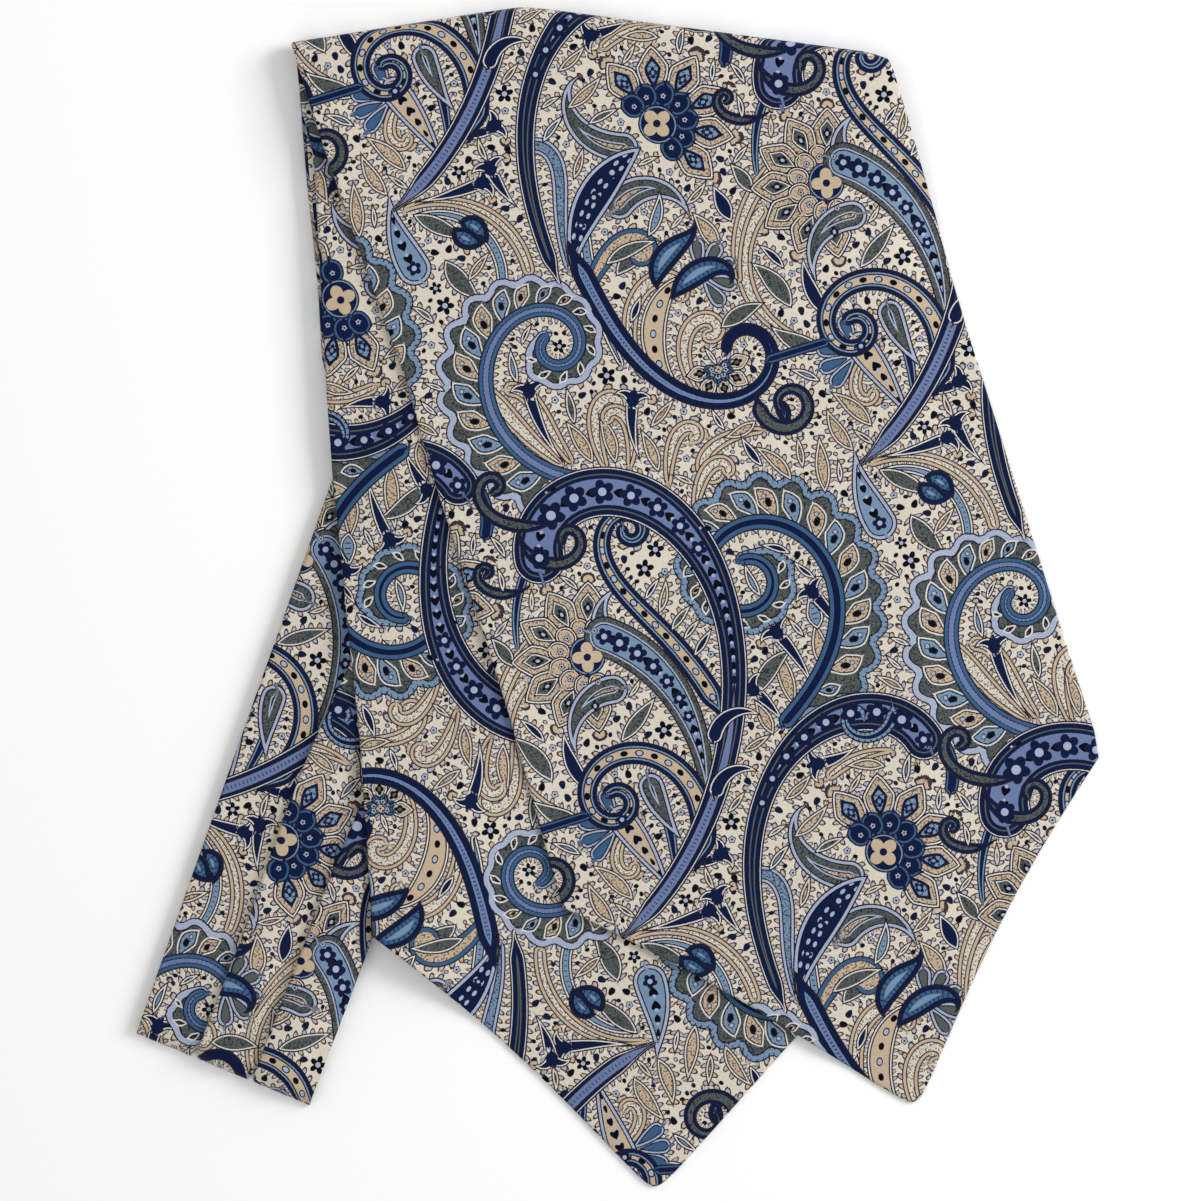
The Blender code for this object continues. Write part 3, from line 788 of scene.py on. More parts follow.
# ---- figures of one repeat, the lowest first
# Style, foot across and along, heading, length, half width, bend, curl, profile, delay
STRANDS = (
    # between the hooked stem and the blue leaves
    ("strand_tan", -13, 221, 105, 41, 2.7, -95, -130),
    ("strand_bead", -1, 209, 137, 44, 3.8, -118, 0, "dagger"),
    ("strand_tan", 2, 209, 118, 36, 2.6, -95, -230),
    ("strand_blue", -18, 226, 99, 40, 2, -22),
    ("leaf_grey", -12, 250, 40, 17, 2.8, -40),
    ("leaf_tan", -22, 213, 140, 10, 2.1, 20),
    ("leaf_navy", -12, 236, 52, 9, 1.4),
    ("leaf_navy", -15, 229, 65, 7, 1.2),
    ("strand_tan", 31, 219, 140, 42, 2.7, -105),
    ("leaf_grey", 12, 227, 25, 15, 2.6, -25),
    ("strand_tan", 14, 196, 165, 27, 2.4, 60, 170),
    ("leaf_tan", 14, 199, 205, 11, 1.9, -30),
    ("leaf_blue", 21, 203, -60, 9, 2.2, -60),
    # inside the first crook
    ("strand_tan", -43, 204, 128, 32, 2.9, -28, 40),
    ("strand_tan", -40, 204, 108, 27, 2.6, -14, 70),
    ("leaf_tan", -34, 201, 100, 15, 2.3, 12),
    ("strand_tan", -31, 200, 96, 25, 2.7, -40, -170),
    ("leaf_tan", -28, 199, 80, 16, 2.2, 24),
    ("strand_tan", -24, 198, 62, 20, 2.4, 40, 150),
    # right of the tall trunk
    ("strand_tan", -15, 190, 74, 22, 2.4, -30, -200),
    ("leaf_tan", -17, 193, 86, 14, 2.1, 20),
    ("strand_tan", -10, 180, 70, 20, 2.4, -40, -150),
    ("leaf_navy", -10, 175, 62, 10, 1.6, 10),
    ("leaf_tan", -9, 166, 58, 9, 1.8, 10),
    # between the second crook and the leaning trunk
    ("leaf_tan", 0, 118, 86, 20, 2.5, 10),
    ("leaf_tan", 12, 125, 92, 15, 2.5, -12),
    ("strand_blue", 13, 137, 80, 10, 2.6, 20, 0, "leaf"),
    ("leaf_tan", -8, 112, 96, 12, 2.1, 10),
    ("leaf_grey", -9, 124, 60, 18, 2.7, -50),
    # under the leaning trunk's head
    ("strand_tan", 22, 98, 165, 18, 2, 40),
    ("leaf_tan", 20, 94, 150, 12, 1.9, 25),
    # at the foot of the leaning trunk
    ("strand_sky", -24, 40, 88, 44, 2.5, -42, 250),
    ("strand_steel", -21, 31, 55, 30, 3.2, -48, -220),
    ("leaf_grey", -14, 37, 22, 17, 2.2, -30),
    ("leaf_tan", 18, 31, 95, 14, 2.6, 25),
    ("strand_tan", 21, 22, 82, 46, 2.5, -72),
    ("leaf_navy", 24, 38, 100, 12, 2.4),
    ("leaf_grey", 32, 44, 100, 11, 2.3, 20),
    # under and above the foot of the tall trunk
    ("strand_tan", -63, 69, 6, 44, 2.1, -100),
    ("strand_blue", -61, 66, 0, 36, 1.9, -110),
    ("leaf_grey", -62, 67, -42, 18, 2.6),
    ("leaf_blue", -50, 61, -20, 11, 3.2, -70),
    ("leaf_blue", -52, 60, -75, 11, 3.2, 70),
    ("leaf_grey", -57, 52, -80, 16, 3, 30),
    ("strand_navy", -46, 84, 76, 27, 1.7, 22),
    ("strand_tan", -52, 101, 205, 22, 2.1, 60, 170),
    ("leaf_tan", -60, 79, 112, 16, 2.4, 22),
    ("leaf_tan", -67, 74, 120, 15, 2.3, -30),
    ("leaf_tan", -36, 98, 62, 14, 2.2, 20),
    # left of the beaded scroll
    ("leaf_navy", -62, 112, 120, 20, 2.3, -45),
    ("leaf_grey", -72, 118, 100, 18, 3, 30),
    ("leaf_grey", -66, 104, 160, 18, 2.8, -40),
    ("strand_navy", -70, 158, 82, 42, 1.6, -62),
)
LEAF_PAIR = (
    ("leaf_blue", -2, 243, 82, 24, 3.6, -120, 140),
    ("leaf_blue", 1, 239, 42, 25, 3.6, -60, -150),
)
BOTEHS = (
    ("boteh_grey", -39, 165, 196, 22, 4.3, 140),
    ("boteh_grey", -63, 124, 95, 24, 4.3, -105),
    ("boteh_tan", -49, 78, 103, 25, 4.3, 8),
    ("boteh_grey", -42, 92, 112, 17, 3.8, -20),
    ("boteh_sky", -67, 73, -100, 21, 5, 25),
    ("boteh_grey", -6, 90, 175, 30, 4.4, 165, 0, "drop", 0.5),
    ("boteh_grey", 13, 44, 95, 24, 4.6, 120),
    ("boteh_navy", -24, 36, 74, 44, 5.2, -58, 0, "dagger"),
    ("boteh_long", -34, 91, 72, 68, 5.8, 72, 0, "drop", 1.5),
)
VINES = (
    ("vine_grey", 16, 205, -100, 39, 2.4, 330, 70, "taper", 1.25),
    ("vine_navy", 24, 107, -8, 32, 2, -112, 0, "even"),
    ("scroll", -40, 83, 52, 92, 3.8, 250, 260, "taper", 1.15),
    ("scroll", -20, 121, 99, 90, 3.4, 58, -450),
    ("vine_grey", -62, 173, 195, 25, 2, -110, -270, "hook"),
    ("vine_navy", -82, 106, 0, 16, 1.5, 0, 0, "even"),
)
TRUNK_FEET = (
    ("leaf_navy", -28, 102, 58, 15, 2.4, -105, 0, "tusk"),
    ("leaf_navy", -24, 117, 60, 17, 2.4, -110, 0, "tusk"),
)
HOOKS = (
    ("vine_grey", -47, 189, 190, 42, 2.4, -110, -270, "hook"),
    ("vine_grey", -60, 189, -100, 36, 2.4, 190, 190, "hook"),
)
# Foot across and along, heading, length and bend
FORKS = (
    (-42, 204, 112, 22, -26), (-21, 198, 95, 17, -30), (7, 121, 96, 19, 20), (-4, 114, 105, 13, 20),
    (20, 131, 100, 17, 15), (14, 102, 200, 12, -25), (-60, 70, -8, 19, 14), (-44, 84, -15, 11, 30),
    (-33, 60, 118, 13, -20), (38, 100, 20, 12, 30), (5, 168, 110, 6, 0), (18, 168, 60, 6, 0),
    (-72, 204, 20, 10, 30),
)
# Rows of hearts in these styles end under a flower
FLOWER_ENDED = ("boteh_sky", "boteh_tan", "boteh_long", "trunk")
FILLER_SEED = 5
FILLER_PLACES = 12000
FILLER_ROUNDS = 1600
LEAST_ROOM = 1.35
LEAF_ROOM = 2.6
LONGEST_LEAF = 17.0


def layout():
    """All strokes and marks of one repeat, the lowest first."""
    strokes, marks = strokes_of(STRANDS), []

    def add(drawn, more_marks=()):
        strokes.extend(drawn)
        marks.extend(more_marks)

    for row in FORKS:
        add(*fork(*row))
    add(*fan("shell", 11, 243, -70, 80, 8.5, 2.5))
    add(*fan("shell_blue", -58, 100, 95, 215, 9.5, 2.4))
    add(strokes_of(LEAF_PAIR))
    add(*bloom("petal_small", 8, 216, 175, 365, 5, 2.6, 7, 2.6, "lobe_navy", 1.4, ("ink", "slate")))
    add(*bloom("bloom_tan", -52, 149, 72, 262, 7, 8.4, 13.5, 4.9, "lobe_tan", 3, ("ink", "lavender")))
    add(*bloom("bloom_navy", 12, 71, -62, 112, 6, 8.6, 14, 4.9, "lobe_navy", 3.3, ("navy", "sky")))
    add(strokes_of(BOTEHS))
    marks += flower_row(strokes[-1].points, 0.5, 0.93, 6, 2.5)
    marks += flower_row(strokes[-2].points, 0.35, 0.75, 3, 1.9)
    add([stroke("stem", -22, 262, -82, 107, 3.1, 135, 200, "taper", 2)])
    line = sweep(-33, 196, 168, 114, -212, -288)
    add(*crook("scallop_pale", "crook_blue", ("petal_tan", "petal_sky"), line, 2.4))
    line = sweep(-3, 115, 33, 138, 350, 157, 1.6)
    add(*crook("scallop_sky", "crook_navy", ("petal_sky", "petal_tan"), line, 2.5))
    add(strokes_of(VINES))
    leaning = stroke("trunk", -28, 36, 95, 122, 6, -110, -60, "swell", 1.5)
    add([leaning], flower_row(leaning.points, 0.5, 0.93, 8, 2.9))
    add([stroke("hook_sky", 27, 110, -100, 30, 1.9, -210, -150, "taper")])
    tall = stroke("trunk", -66, 70, 22, 184, 7.6, 92, 150, "swell", 0.8)
    low = tall.points[:120]
    share = np.linspace(0, 1, len(low))
    slim = 1.7 * (0.2 + 0.8 * ease(share / 0.12)) * (1 - share**4) + 0.05
    add([tall, Stroke(low, slim, slim, "stem_light", False)], flower_row(tall.points, 0.66, 0.93, 7, 3.4))
    for item in strokes:
        if item.style in FLOWER_ENDED:
            size = max(1.45, 0.36 * item.left[-1])
            marks.append(Mark(*item.points[-1], 20, size, 5, 0.2, 1, 0, "navy", "lavender", 0.4))
    add(strokes_of(TRUNK_FEET + HOOKS))
    add(*fillers(strokes, marks))
    return strokes, marks


def clearance(places, strokes, marks):
    """Distance from each place to the nearest edge of a figure, in the repeating print."""
    free = np.full(len(places), 9.0)
    for item in strokes:
        reach = max(item.left.max(), item.right.max()) + 7
        for moved in repeated(item, reach):
            low, high = moved.points.min(axis=0) - reach, moved.points.max(axis=0) + reach
            close = np.flatnonzero(((places > low) & (places < high)).all(axis=1))
            half, across, _ = across_and_along(moved, places[close], places[close][:, None])
            free[close] = np.minimum(free[close], (np.abs(across) - half)[:, 0])
    for item in marks:
        free = np.minimum(free, apart(places, (item.x, item.y)) - item.radius * (1 + item.depth))
    return free


def apart(places, place):
    """Distances to a place, by the shortest way in the repeating print."""
    offset = places - place
    offset = offset - np.round(offset @ np.linalg.inv(REPEAT)) @ REPEAT
    return np.hypot(*offset.T)


def fillers(strokes, marks):
    """Leaves, flowers, stars, drops and dots in the free ground, the widest gaps first."""
    random = np.random.default_rng(FILLER_SEED)
    places = random.random((FILLER_PLACES, 2)) @ REPEAT
    free = clearance(places, strokes, marks)
    leaves, figures = [], []
    for count in range(FILLER_ROUNDS):
        index = int(free.argmax())
        room = free[index]
        if room < LEAST_ROOM:
            break
        x, y = places[index]
        angle = random.uniform(0, 360)
        kind = random.random()
        if room > LEAF_ROOM and kind < 0.8:
            lean = 75 + 60 * math.sin(x / 19 + y / 31)
            length = min(room * 2.8, LONGEST_LEAF)
            style = ("leaf_tan", "leaf_navy", "leaf_grey", "leaf_tan", "strand_blue")[count % 5]
            foot = from_place(x, y, lean, -length / 2)
            leaves.append(stroke(style, *foot, lean, length, 0.135 * length, 90 * (kind - 0.35), 0, "leaf"))
            for share in (-0.3, 0.0, 0.3):
                spot = from_place(x, y, lean, share * length)
                free = np.minimum(free, apart(places, spot) - 0.16 * length)
            continue
        if room > 2.8:
            size = min(room - 1.0, 2.7) / 1.4
            figure, taken = (size, 5, 0.4, 1, 0, "ink", "lavender", 0.4), size * 1.4
        elif room > 2.1 and kind < 0.6:
            figure, taken = (1.0, 5, 0.16, 1, 0, "lavender", "ink", 0.3), 1.2
        elif room > 1.9:
            figure, taken = (0.9, 0, 0, 1.4, 0.3, ("navy", "ink")[count % 2], "ink", 0.1), 1.3
        else:
            ink = ("ink", "navy", "ink", "thorn")[count % 4]
            figure, taken = (0.6, 0, 0, 1.25, 0, ink, "ink", 0.1), 0.7
        figures.append(Mark(x, y, angle, *figure))
        free = np.minimum(free, apart(places, (x, y)) - taken)
    return leaves, figures


# ---- laying strokes and marks on faces
LAYERS = 3
MARK_LAYERS = 2
CELL = 4.0
FACE_REACH = 0.6
FRINGE_REACH = 1.6
FRINGE_NONE = -9.0
COVERED = 0.1
INK_BASE = 16
EMPTY = (-1.0, 0.0, 0.0, 0.0)


class Cells:
    """Faces sorted into square cells, so that a stroke finds those that are near it."""

    def __init__(self, centres):
        self.origin = centres.min(axis=0) - CELL
        cell = self.cell_of(centres)
        self.size = cell.max(axis=0) + 2
        keys = cell[:, 1] * self.size[0] + cell[:, 0]
        self.order = np.argsort(keys, kind="stable")
        self.keys = keys[self.order]

    def cell_of(self, places):
        return np.floor((places - self.origin) / CELL).astype(int)

    def near(self, points, reach):
        """Faces in the cells within reach of the points."""
        span = math.ceil(reach / CELL)
        offsets = np.stack(np.meshgrid(*[np.arange(-span, span + 1)] * 2), axis=-1).reshape(-1, 2)
        cell = (np.unique(self.cell_of(points), axis=0)[:, None] + offsets[None]).reshape(-1, 2)
        cell = cell[((cell >= 0) & (cell < self.size)).all(axis=1)]
        keys = np.unique(cell[:, 1] * self.size[0] + cell[:, 0])
        starts = np.searchsorted(self.keys, keys, "left")
        counts = np.searchsorted(self.keys, keys, "right") - starts
        firsts = np.cumsum(counts) - counts
        return self.order[np.repeat(starts - firsts, counts) + np.arange(counts.sum())]


def repeats_of(points, reach):
    """The moves by whole repeats that bring a figure into the one repeat."""
    low, high = points.min(axis=0) - reach, points.max(axis=0) + reach
    box = np.array(((low[0], low[1]), (low[0], high[1]), (high[0], low[1]), (high[0], high[1])))
    whole = np.floor(box @ np.linalg.inv(REPEAT)).astype(int)
    for first in range(whole[:, 0].min(), whole[:, 0].max() + 1):
        for second in range(whole[:, 1].min(), whole[:, 1].max() + 1):
            yield np.array((first, second)) @ REPEAT


def repeated(item, reach):
    """A stroke at each of its places in the one repeat."""
    for whole in repeats_of(item.points, reach):
        yield replace(item, points=item.points - whole)


def across_and_along(item, centres, corners):
    """For each corner, the half width there, the distance across and that along the line.

    The first two are scaled by the slope of the edge, so that one less the other is the
    distance to it. Past an end, the distance along goes on round it as an arc. All corners
    of a face use the stretch of line that is nearest to its middle.
    """
    points, last = item.points, len(item.points) - 2
    close = ((points**2).sum(axis=1)[None] - 2 * centres @ points.T).argmin(axis=1)
    run = lengths(points)
    pieces = np.diff(points, axis=0)
    pace = np.maximum(np.hypot(*pieces.T), 1e-9)
    best = np.full(corners.shape[:2], np.inf)
    foot_at, signed = np.zeros_like(best), np.zeros_like(best)
    for further in (-2, -1, 0, 1):
        index = np.clip(close + further, 0, last)
        length = pace[index][:, None]
        way = (pieces[index] / length)[:, None]
        offset = corners - points[index][:, None]
        share = np.clip((offset * way).sum(-1) / length, 0, 1)
        foot = offset - way * (share * length)[..., None]
        distance = np.hypot(foot[..., 0], foot[..., 1])
        side = way[..., 0] * offset[..., 1] - way[..., 1] * offset[..., 0]
        better = distance < best
        best = np.where(better, distance, best)
        foot_at = np.where(better, index[:, None] + share, foot_at)
        signed = np.where(better, np.where(side < 0, -distance, distance), signed)
    order = np.arange(len(points))
    halves = (item.left, item.right)
    slopes = [1 / np.sqrt(1 + np.gradient(half, run) ** 2) for half in halves]
    half, level = (
        np.where(signed > 0, *(np.interp(foot_at, order, values) for values in pair))
        for pair in (halves, slopes)
    )
    around = np.where(foot_at > last, beyond(corners, points[-1], points[-2]), 0)
    around -= np.where(foot_at <= 0, beyond(corners, points[0], points[1]), 0)
    around = np.arcsin(np.clip(around / np.maximum(best, 1e-6), -1, 1))
    along = np.interp(foot_at, order, run if item.run is None else item.run)
    return half * level, signed * level, along + half * around


def beyond(places, end, before):
    """How far places lie past the end of a line, in the direction from the point before it."""
    way = (end - before) / max(math.dist(end, before), 1e-9)
    return np.maximum((places - end) @ way, 0)


def lay_strokes(strokes, centres, corners, cells):
    """The topmost strokes on each face, as half width, across, along and style for each
    corner, and the fringed stroke nearest to it, as distance inside its edge and along."""
    layers = np.empty((LAYERS, *corners.shape[:2], 4), np.float32)
    layers[:] = EMPTY
    fringe = np.zeros(layers.shape[1:], np.float32)
    fringe[..., 0] = FRINGE_NONE
    closest = np.full(len(centres), -FRINGE_REACH)
    for item in strokes:
        code = STYLE_NAMES.index(item.style) + 1
        reach = max(item.left.max(), item.right.max()) + FRINGE_REACH + FACE_REACH
        for moved in repeated(item, reach):
            faces = cells.near(moved.points, reach)
            if not len(faces):
                continue
            half, across, along = across_and_along(moved, centres[faces], corners[faces])
            inside = half - np.abs(across)
            if item.fringe:
                middle = inside.mean(axis=1)
                nearer = middle > closest[faces]
                chosen = faces[nearer]
                closest[chosen] = middle[nearer]
                fringe[chosen, :, 0] = inside[nearer]
                fringe[chosen, :, 1] = along[nearer]
            crossing = (across.min(axis=1) < 0) & (across.max(axis=1) > 0)
            touched = (inside.max(axis=1) > 0) | (crossing & (inside.max(axis=1) > -0.3))
            faces = faces[touched]
            values = np.stack((half, across, along, np.full_like(half, code)), axis=-1)[touched]
            layers[1:, faces] = layers[:-1, faces]
            layers[0, faces] = values
            layers[1:, faces[inside[touched].min(axis=1) > COVERED]] = EMPTY
    return layers, fringe


def lay_marks(marks, corners, cells):
    """The topmost marks on each face: place in the mark, its size and lobes, and its inks."""
    shapes = np.zeros((MARK_LAYERS, *corners.shape[:2], 4), np.float32)
    tints = np.zeros_like(shapes)
    for item in marks:
        middle = np.array(((item.x, item.y),))
        size = item.radius * (1 + item.depth)
        reach = size * item.stretch + FACE_REACH
        cos, sin = math.cos(math.radians(item.angle)), math.sin(math.radians(item.angle))
        inks = INK_NAMES.index(item.fill) + INK_BASE * INK_NAMES.index(item.core)
        for whole in repeats_of(middle, reach):
            faces = cells.near(middle - whole, reach)
            x, y = np.moveaxis(corners[faces] - (middle - whole), -1, 0)
            along, across = (x * cos + y * sin) / item.stretch, y * cos - x * sin
            touched = np.hypot(along, across).min(axis=1) < size + 0.1
            faces = faces[touched]
            values = (along[touched], across[touched], item.radius, item.lobes)
            shapes[1:, faces] = shapes[:-1, faces]
            tints[1:, faces] = tints[:-1, faces]
            shapes[0, faces] = np.stack(np.broadcast_arrays(*values), axis=-1)
            tints[0, faces] = (item.depth, item.taper, inks, item.core_share)
    return shapes, tints


def lay_print(groups):
    """Lays the print on the faces of all pieces at once, those of four corners and then
    those of five. Faces are moved by whole repeats into one repeat of the print."""
    strokes, marks = layout()
    for count in (4, 5):
        chosen = [group for group in groups if group.flat.shape[1] == count]
        corners = np.concatenate([group.flat for group in chosen])
        centres = corners.mean(axis=1)
        whole = np.floor(centres @ np.linalg.inv(REPEAT)) @ REPEAT
        centres, corners = centres - whole, corners - whole[:, None]
        cells = Cells(centres)
        ribbons, fringe = lay_strokes(strokes, centres, corners, cells)
        shapes, tints = lay_marks(marks, corners, cells)
        ends = np.cumsum([len(group.flat) for group in chosen])[:-1]
        layers = {"fringe": fringe}
        for title, stack in (("ribbon", ribbons), ("mark", shapes), ("tint", tints)):
            layers |= {f"{title}{number}": values for number, values in enumerate(stack)}
        for title, values in layers.items():
            for group, part in zip(chosen, np.split(values, ends)):
                group.layers[title] = part


# ---- shader maths
def operator(operation):
    """A method that adds one Math node for a sign of arithmetic."""

    def apply(self, other):
        return self.math(operation, other)

    return apply


class Wire:
    """A socket of a node tree. Arithmetic on wires and numbers adds the Math nodes for it."""

    def __init__(self, nodes, socket):
        self.nodes = nodes
        self.socket = socket

    def math(self, operation, *others):
        return self.nodes.add("Math", {"operation": operation}, enumerate((self, *others)))

    __add__ = __radd__ = operator("ADD")
    __mul__ = __rmul__ = operator("MULTIPLY")
    __sub__ = operator("SUBTRACT")
    __truediv__ = operator("DIVIDE")
    __mod__ = operator("FLOORED_MODULO")
    __gt__ = operator("GREATER_THAN")
    __lt__ = operator("LESS_THAN")

    def __rsub__(self, other):
        return self.nodes.add("Math", {"operation": "SUBTRACT"}, {0: other, 1: self})

    def __abs__(self):
        return self.math("ABSOLUTE")

    def near(self, other, reach=0.5):
        return self.math("COMPARE", other, reach)

    def output(self, name):
        return Wire(self.nodes, self.socket.node.outputs[name])

    def parts(self):
        """The three numbers of a vector."""
        node = self.nodes.add("SeparateXYZ", (), {0: self})
        return [node.output(axis) for axis in "XYZ"]


class Nodes:
    """The nodes of one material."""

    def __init__(self, material):
        material.use_nodes = True
        self.tree = material.node_tree
        self.shader = self.tree.nodes["Principled BSDF"]

    def fill(self, node, values):
        """Gives a node's inputs their values, or links the wires that feed them."""
        for key, value in dict(values).items():
            if isinstance(value, Wire):
                self.tree.links.new(value.socket, node.inputs[key])
            else:
                node.inputs[key].default_value = value

    def add(self, kind, settings=(), values=(), output=0):
        """Adds a node of a kind, with its settings first, and returns one of its outputs."""
        node = self.tree.nodes.new("ShaderNode" + kind)
        for name, value in dict(settings).items():
            if name == "stops":
                set_stops(node.color_ramp, value)
            else:
                setattr(node, name, value)
        self.fill(node, values)
        return Wire(self, node.outputs[output])

    def mix(self, share, first, second, kind="RGBA", blend="MIX"):
        """A colour or vector between two others, by a share from 0 to 1."""
        names = {"RGBA": (6, 7, 2), "VECTOR": (4, 5, 1)}[kind]
        settings = {"data_type": kind, "clamp_factor": True}
        if kind == "RGBA":
            settings["blend_type"] = blend
        return self.add("Mix", settings, {0: share, names[0]: first, names[1]: second}, names[2])

    def grey(self, tone):
        return self.add("CombineColor", (), {0: tone, 1: tone, 2: tone})

    def attribute(self, name):
        return self.add("Attribute", {"attribute_name": name}, output="Color")

    def noise(self, place, scale, detail):
        values = {"Vector": place, "Scale": scale, "Detail": detail}
        return self.add("TexNoise", {"noise_dimensions": "2D"}, values)


def set_stops(ramp, stops):
    """Gives a ramp flat steps: each stop is its start and its colour with the fourth value."""
    ramp.interpolation = "CONSTANT"
    while len(ramp.elements) > 1:
        ramp.elements.remove(ramp.elements[-1])
    for number, (start, colour) in enumerate(stops):
        element = ramp.elements.new(start) if number else ramp.elements[0]
        element.position = start
        element.color = colour


def painted(name, alpha=1):
    """An ink's colour as linear light, by the sRGB curve, and its fourth value."""
    shares = [int(INKS[name][first : first + 2], 16) / 255 for first in (1, 3, 5)]
    light = (s / 12.92 if s <= 0.04045 else ((s + 0.055) / 1.055) ** 2.4 for s in shares)
    return (*light, alpha)


# ---- the silk
RAMP_REACH = 10.0
PATTERN_STEP = 0.125
TICK_PITCH = 1.5
DASH_PITCH = 1.2
BEAD_PITCH = 4.4
HEART_PITCH = 4.0
GRAIN_PITCH = 3.4
THORN_PITCH = 2.45
TWILL_PITCH = 0.66
RIB_PITCH = 0.62 * TWILL_PITCH
OUTLINE = 0.25


def style_ramp(bands):
    """Stops of one style: where each band starts, its ink, and its pattern as alpha."""
    stops, start = [], 0.0
    for band in bands.split(", "):
        ink, _, pattern = band.split()[0].partition("+")
        alpha = PATTERNS.index(pattern or "plain") * PATTERN_STEP
        stops.append((start / RAMP_REACH, painted(ink, alpha)))
        start += float(band.split()[-1]) if " " in band else RAMP_REACH
    return stops


def ribbon_colour(nodes, wobble, place):
    """Colour of the topmost stroke, and where there is none the ground and the thorns."""
    top, side = None, None
    for layer in reversed(range(LAYERS)):
        ribbon = nodes.attribute(f"ribbon{layer}")
        half, across, along = ribbon.parts()
        edge = half - abs(across) + wobble
        values = nodes.add("CombineXYZ", (), {0: edge, 1: along, 2: ribbon.output("Alpha")})
        sizes = nodes.add("CombineXYZ", (), {0: abs(across), 1: half})
        top = values if top is None else nodes.mix(edge > 0, top, values, "VECTOR")
        side = sizes if side is None else nodes.mix(edge > 0, side, sizes, "VECTOR")
    edge, along, code = top.parts()
    colour, pattern = None, None
    for number, bands in enumerate(STYLES.values(), 1):
        ramp = nodes.add("ValToRGB", {"stops": style_ramp(bands)}, {0: edge / RAMP_REACH})
        alpha = ramp.output("Alpha")
        if colour is None:
            colour, pattern = ramp, alpha
        else:
            here = code.near(number)
            colour = nodes.mix(here, colour, ramp)
            pattern = pattern + here * (alpha - pattern)
    middle, half, _ = side.parts()
    colour = patterned(nodes, colour, pattern, (edge, along, middle, half), place)
    return nodes.mix(edge > 0, thorny_ground(nodes, wobble), colour)


def length_of(x, y):
    return (x * x + y * y).math("SQRT")


def thorny_ground(nodes, wobble):
    """The ground, with a row of small outlined thorns along the fringed strokes. Each is half
    an ellipse that leans a little, filled pale or tan by its number."""
    inside, along, _ = nodes.attribute("fringe").parts()
    outside = inside * -1
    number = (along / THORN_PITCH).math("FLOOR")
    place = (along % THORN_PITCH) - THORN_PITCH / 2
    size = length_of((place - outside * 0.3) / 0.8, outside / 1.5) + wobble
    fill = nodes.mix(((number * 0.37) % 1) < 0.7, painted("tan"), painted("thorn"))
    thorn = nodes.mix(size < 0.64, painted("umber"), fill)
    return nodes.mix((size < 1) * (outside > -0.3), painted("ground"), thorn)


def patterned(nodes, colour, pattern, figures, place):
    """The fine drawing over the fills: ticks, dots and dashes, beads and hearts in a row on
    the middle line, and pale grains on both sides of it."""
    edge, along, middle, half = figures
    ticks = ((along % TICK_PITCH) < 0.36) * ((edge % 1.6) < 0.95)
    dots = nodes.noise(place, 0.95, 1.0).near(0.5, 0.055)
    specks = nodes.noise(place, 1.7, 0.0) > 0.6
    dashes = ((along % DASH_PITCH) < 0.45) * ((edge % 1.3) < 0.35)
    size = length_of(((along % BEAD_PITCH) - BEAD_PITCH / 2) / 1.1, middle / 0.8)
    odd = ((along / BEAD_PITCH).math("FLOOR") % 2) < 1
    heart_at = (along % HEART_PITCH) - HEART_PITCH / 2
    width = ((half - 2.1) * 0.8).math("MAXIMUM", 0.5).math("MINIMUM", 1.35)
    hearts = length_of((heart_at + middle * 0.75 - 0.3) / 1.15, middle / width) < 1
    grains = length_of(((along % GRAIN_PITCH) - GRAIN_PITCH / 2) / 0.9, (middle - 1.0) / 0.5) < 1
    for name, ink, share, mask in (
        ("ticks", "line", 0.9, ticks),
        ("stipple", "line", 0.8, dots),
        ("specks", "umber", 0.75, specks),
        ("dashes", "line", 0.9, dashes),
        ("beads", "ink", 1.0, size < 1 + (1 - odd) * 0.15),
        ("beads", "lavender", 1.0, (size < 0.8) * (1 - odd)),
        ("hearts", "ink", 1.0, hearts),
        ("hearts", "lavender", 1.0, length_of(heart_at + 1.35, middle) < 0.5),
        ("grains", "lavender", 1.0, grains),
    ):
        here = pattern.near(PATTERNS.index(name) * PATTERN_STEP, PATTERN_STEP / 2)
        colour = nodes.mix(here * mask * share, colour, painted(ink))
    return colour


def mark_colour(nodes, colour, wobble):
    """The small marks over a colour: outline, fill and core of each."""
    palette = [(number / INK_BASE, painted(name)) for number, name in enumerate(INK_NAMES)]
    for layer in reversed(range(MARK_LAYERS)):
        shape, tint = nodes.attribute(f"mark{layer}"), nodes.attribute(f"tint{layer}")
        x, y, radius = shape.parts()
        depth, taper, inks = tint.parts()
        y = y * (1 + taper * x / radius.math("MAXIMUM", 0.01))
        distance = length_of(x, y)
        petals = 2 * abs((y.math("ARCTAN2", x) * shape.output("Alpha") * 0.5).math("COSINE")) - 1
        edge = radius * (1 + depth * petals) - distance + wobble
        core_ink = (inks / INK_BASE + 0.001).math("FLOOR")
        fill_ink = inks - core_ink * INK_BASE
        core = distance < radius * tint.output("Alpha")
        ink = fill_ink + core * (core_ink - fill_ink)
        inside = nodes.add("ValToRGB", {"stops": palette}, {0: (ink + 0.5) / INK_BASE})
        inside = nodes.mix(edge < OUTLINE, inside, painted("line"))
        colour = nodes.mix((edge > 0) * (radius > 0.01), colour, inside)
    return colour


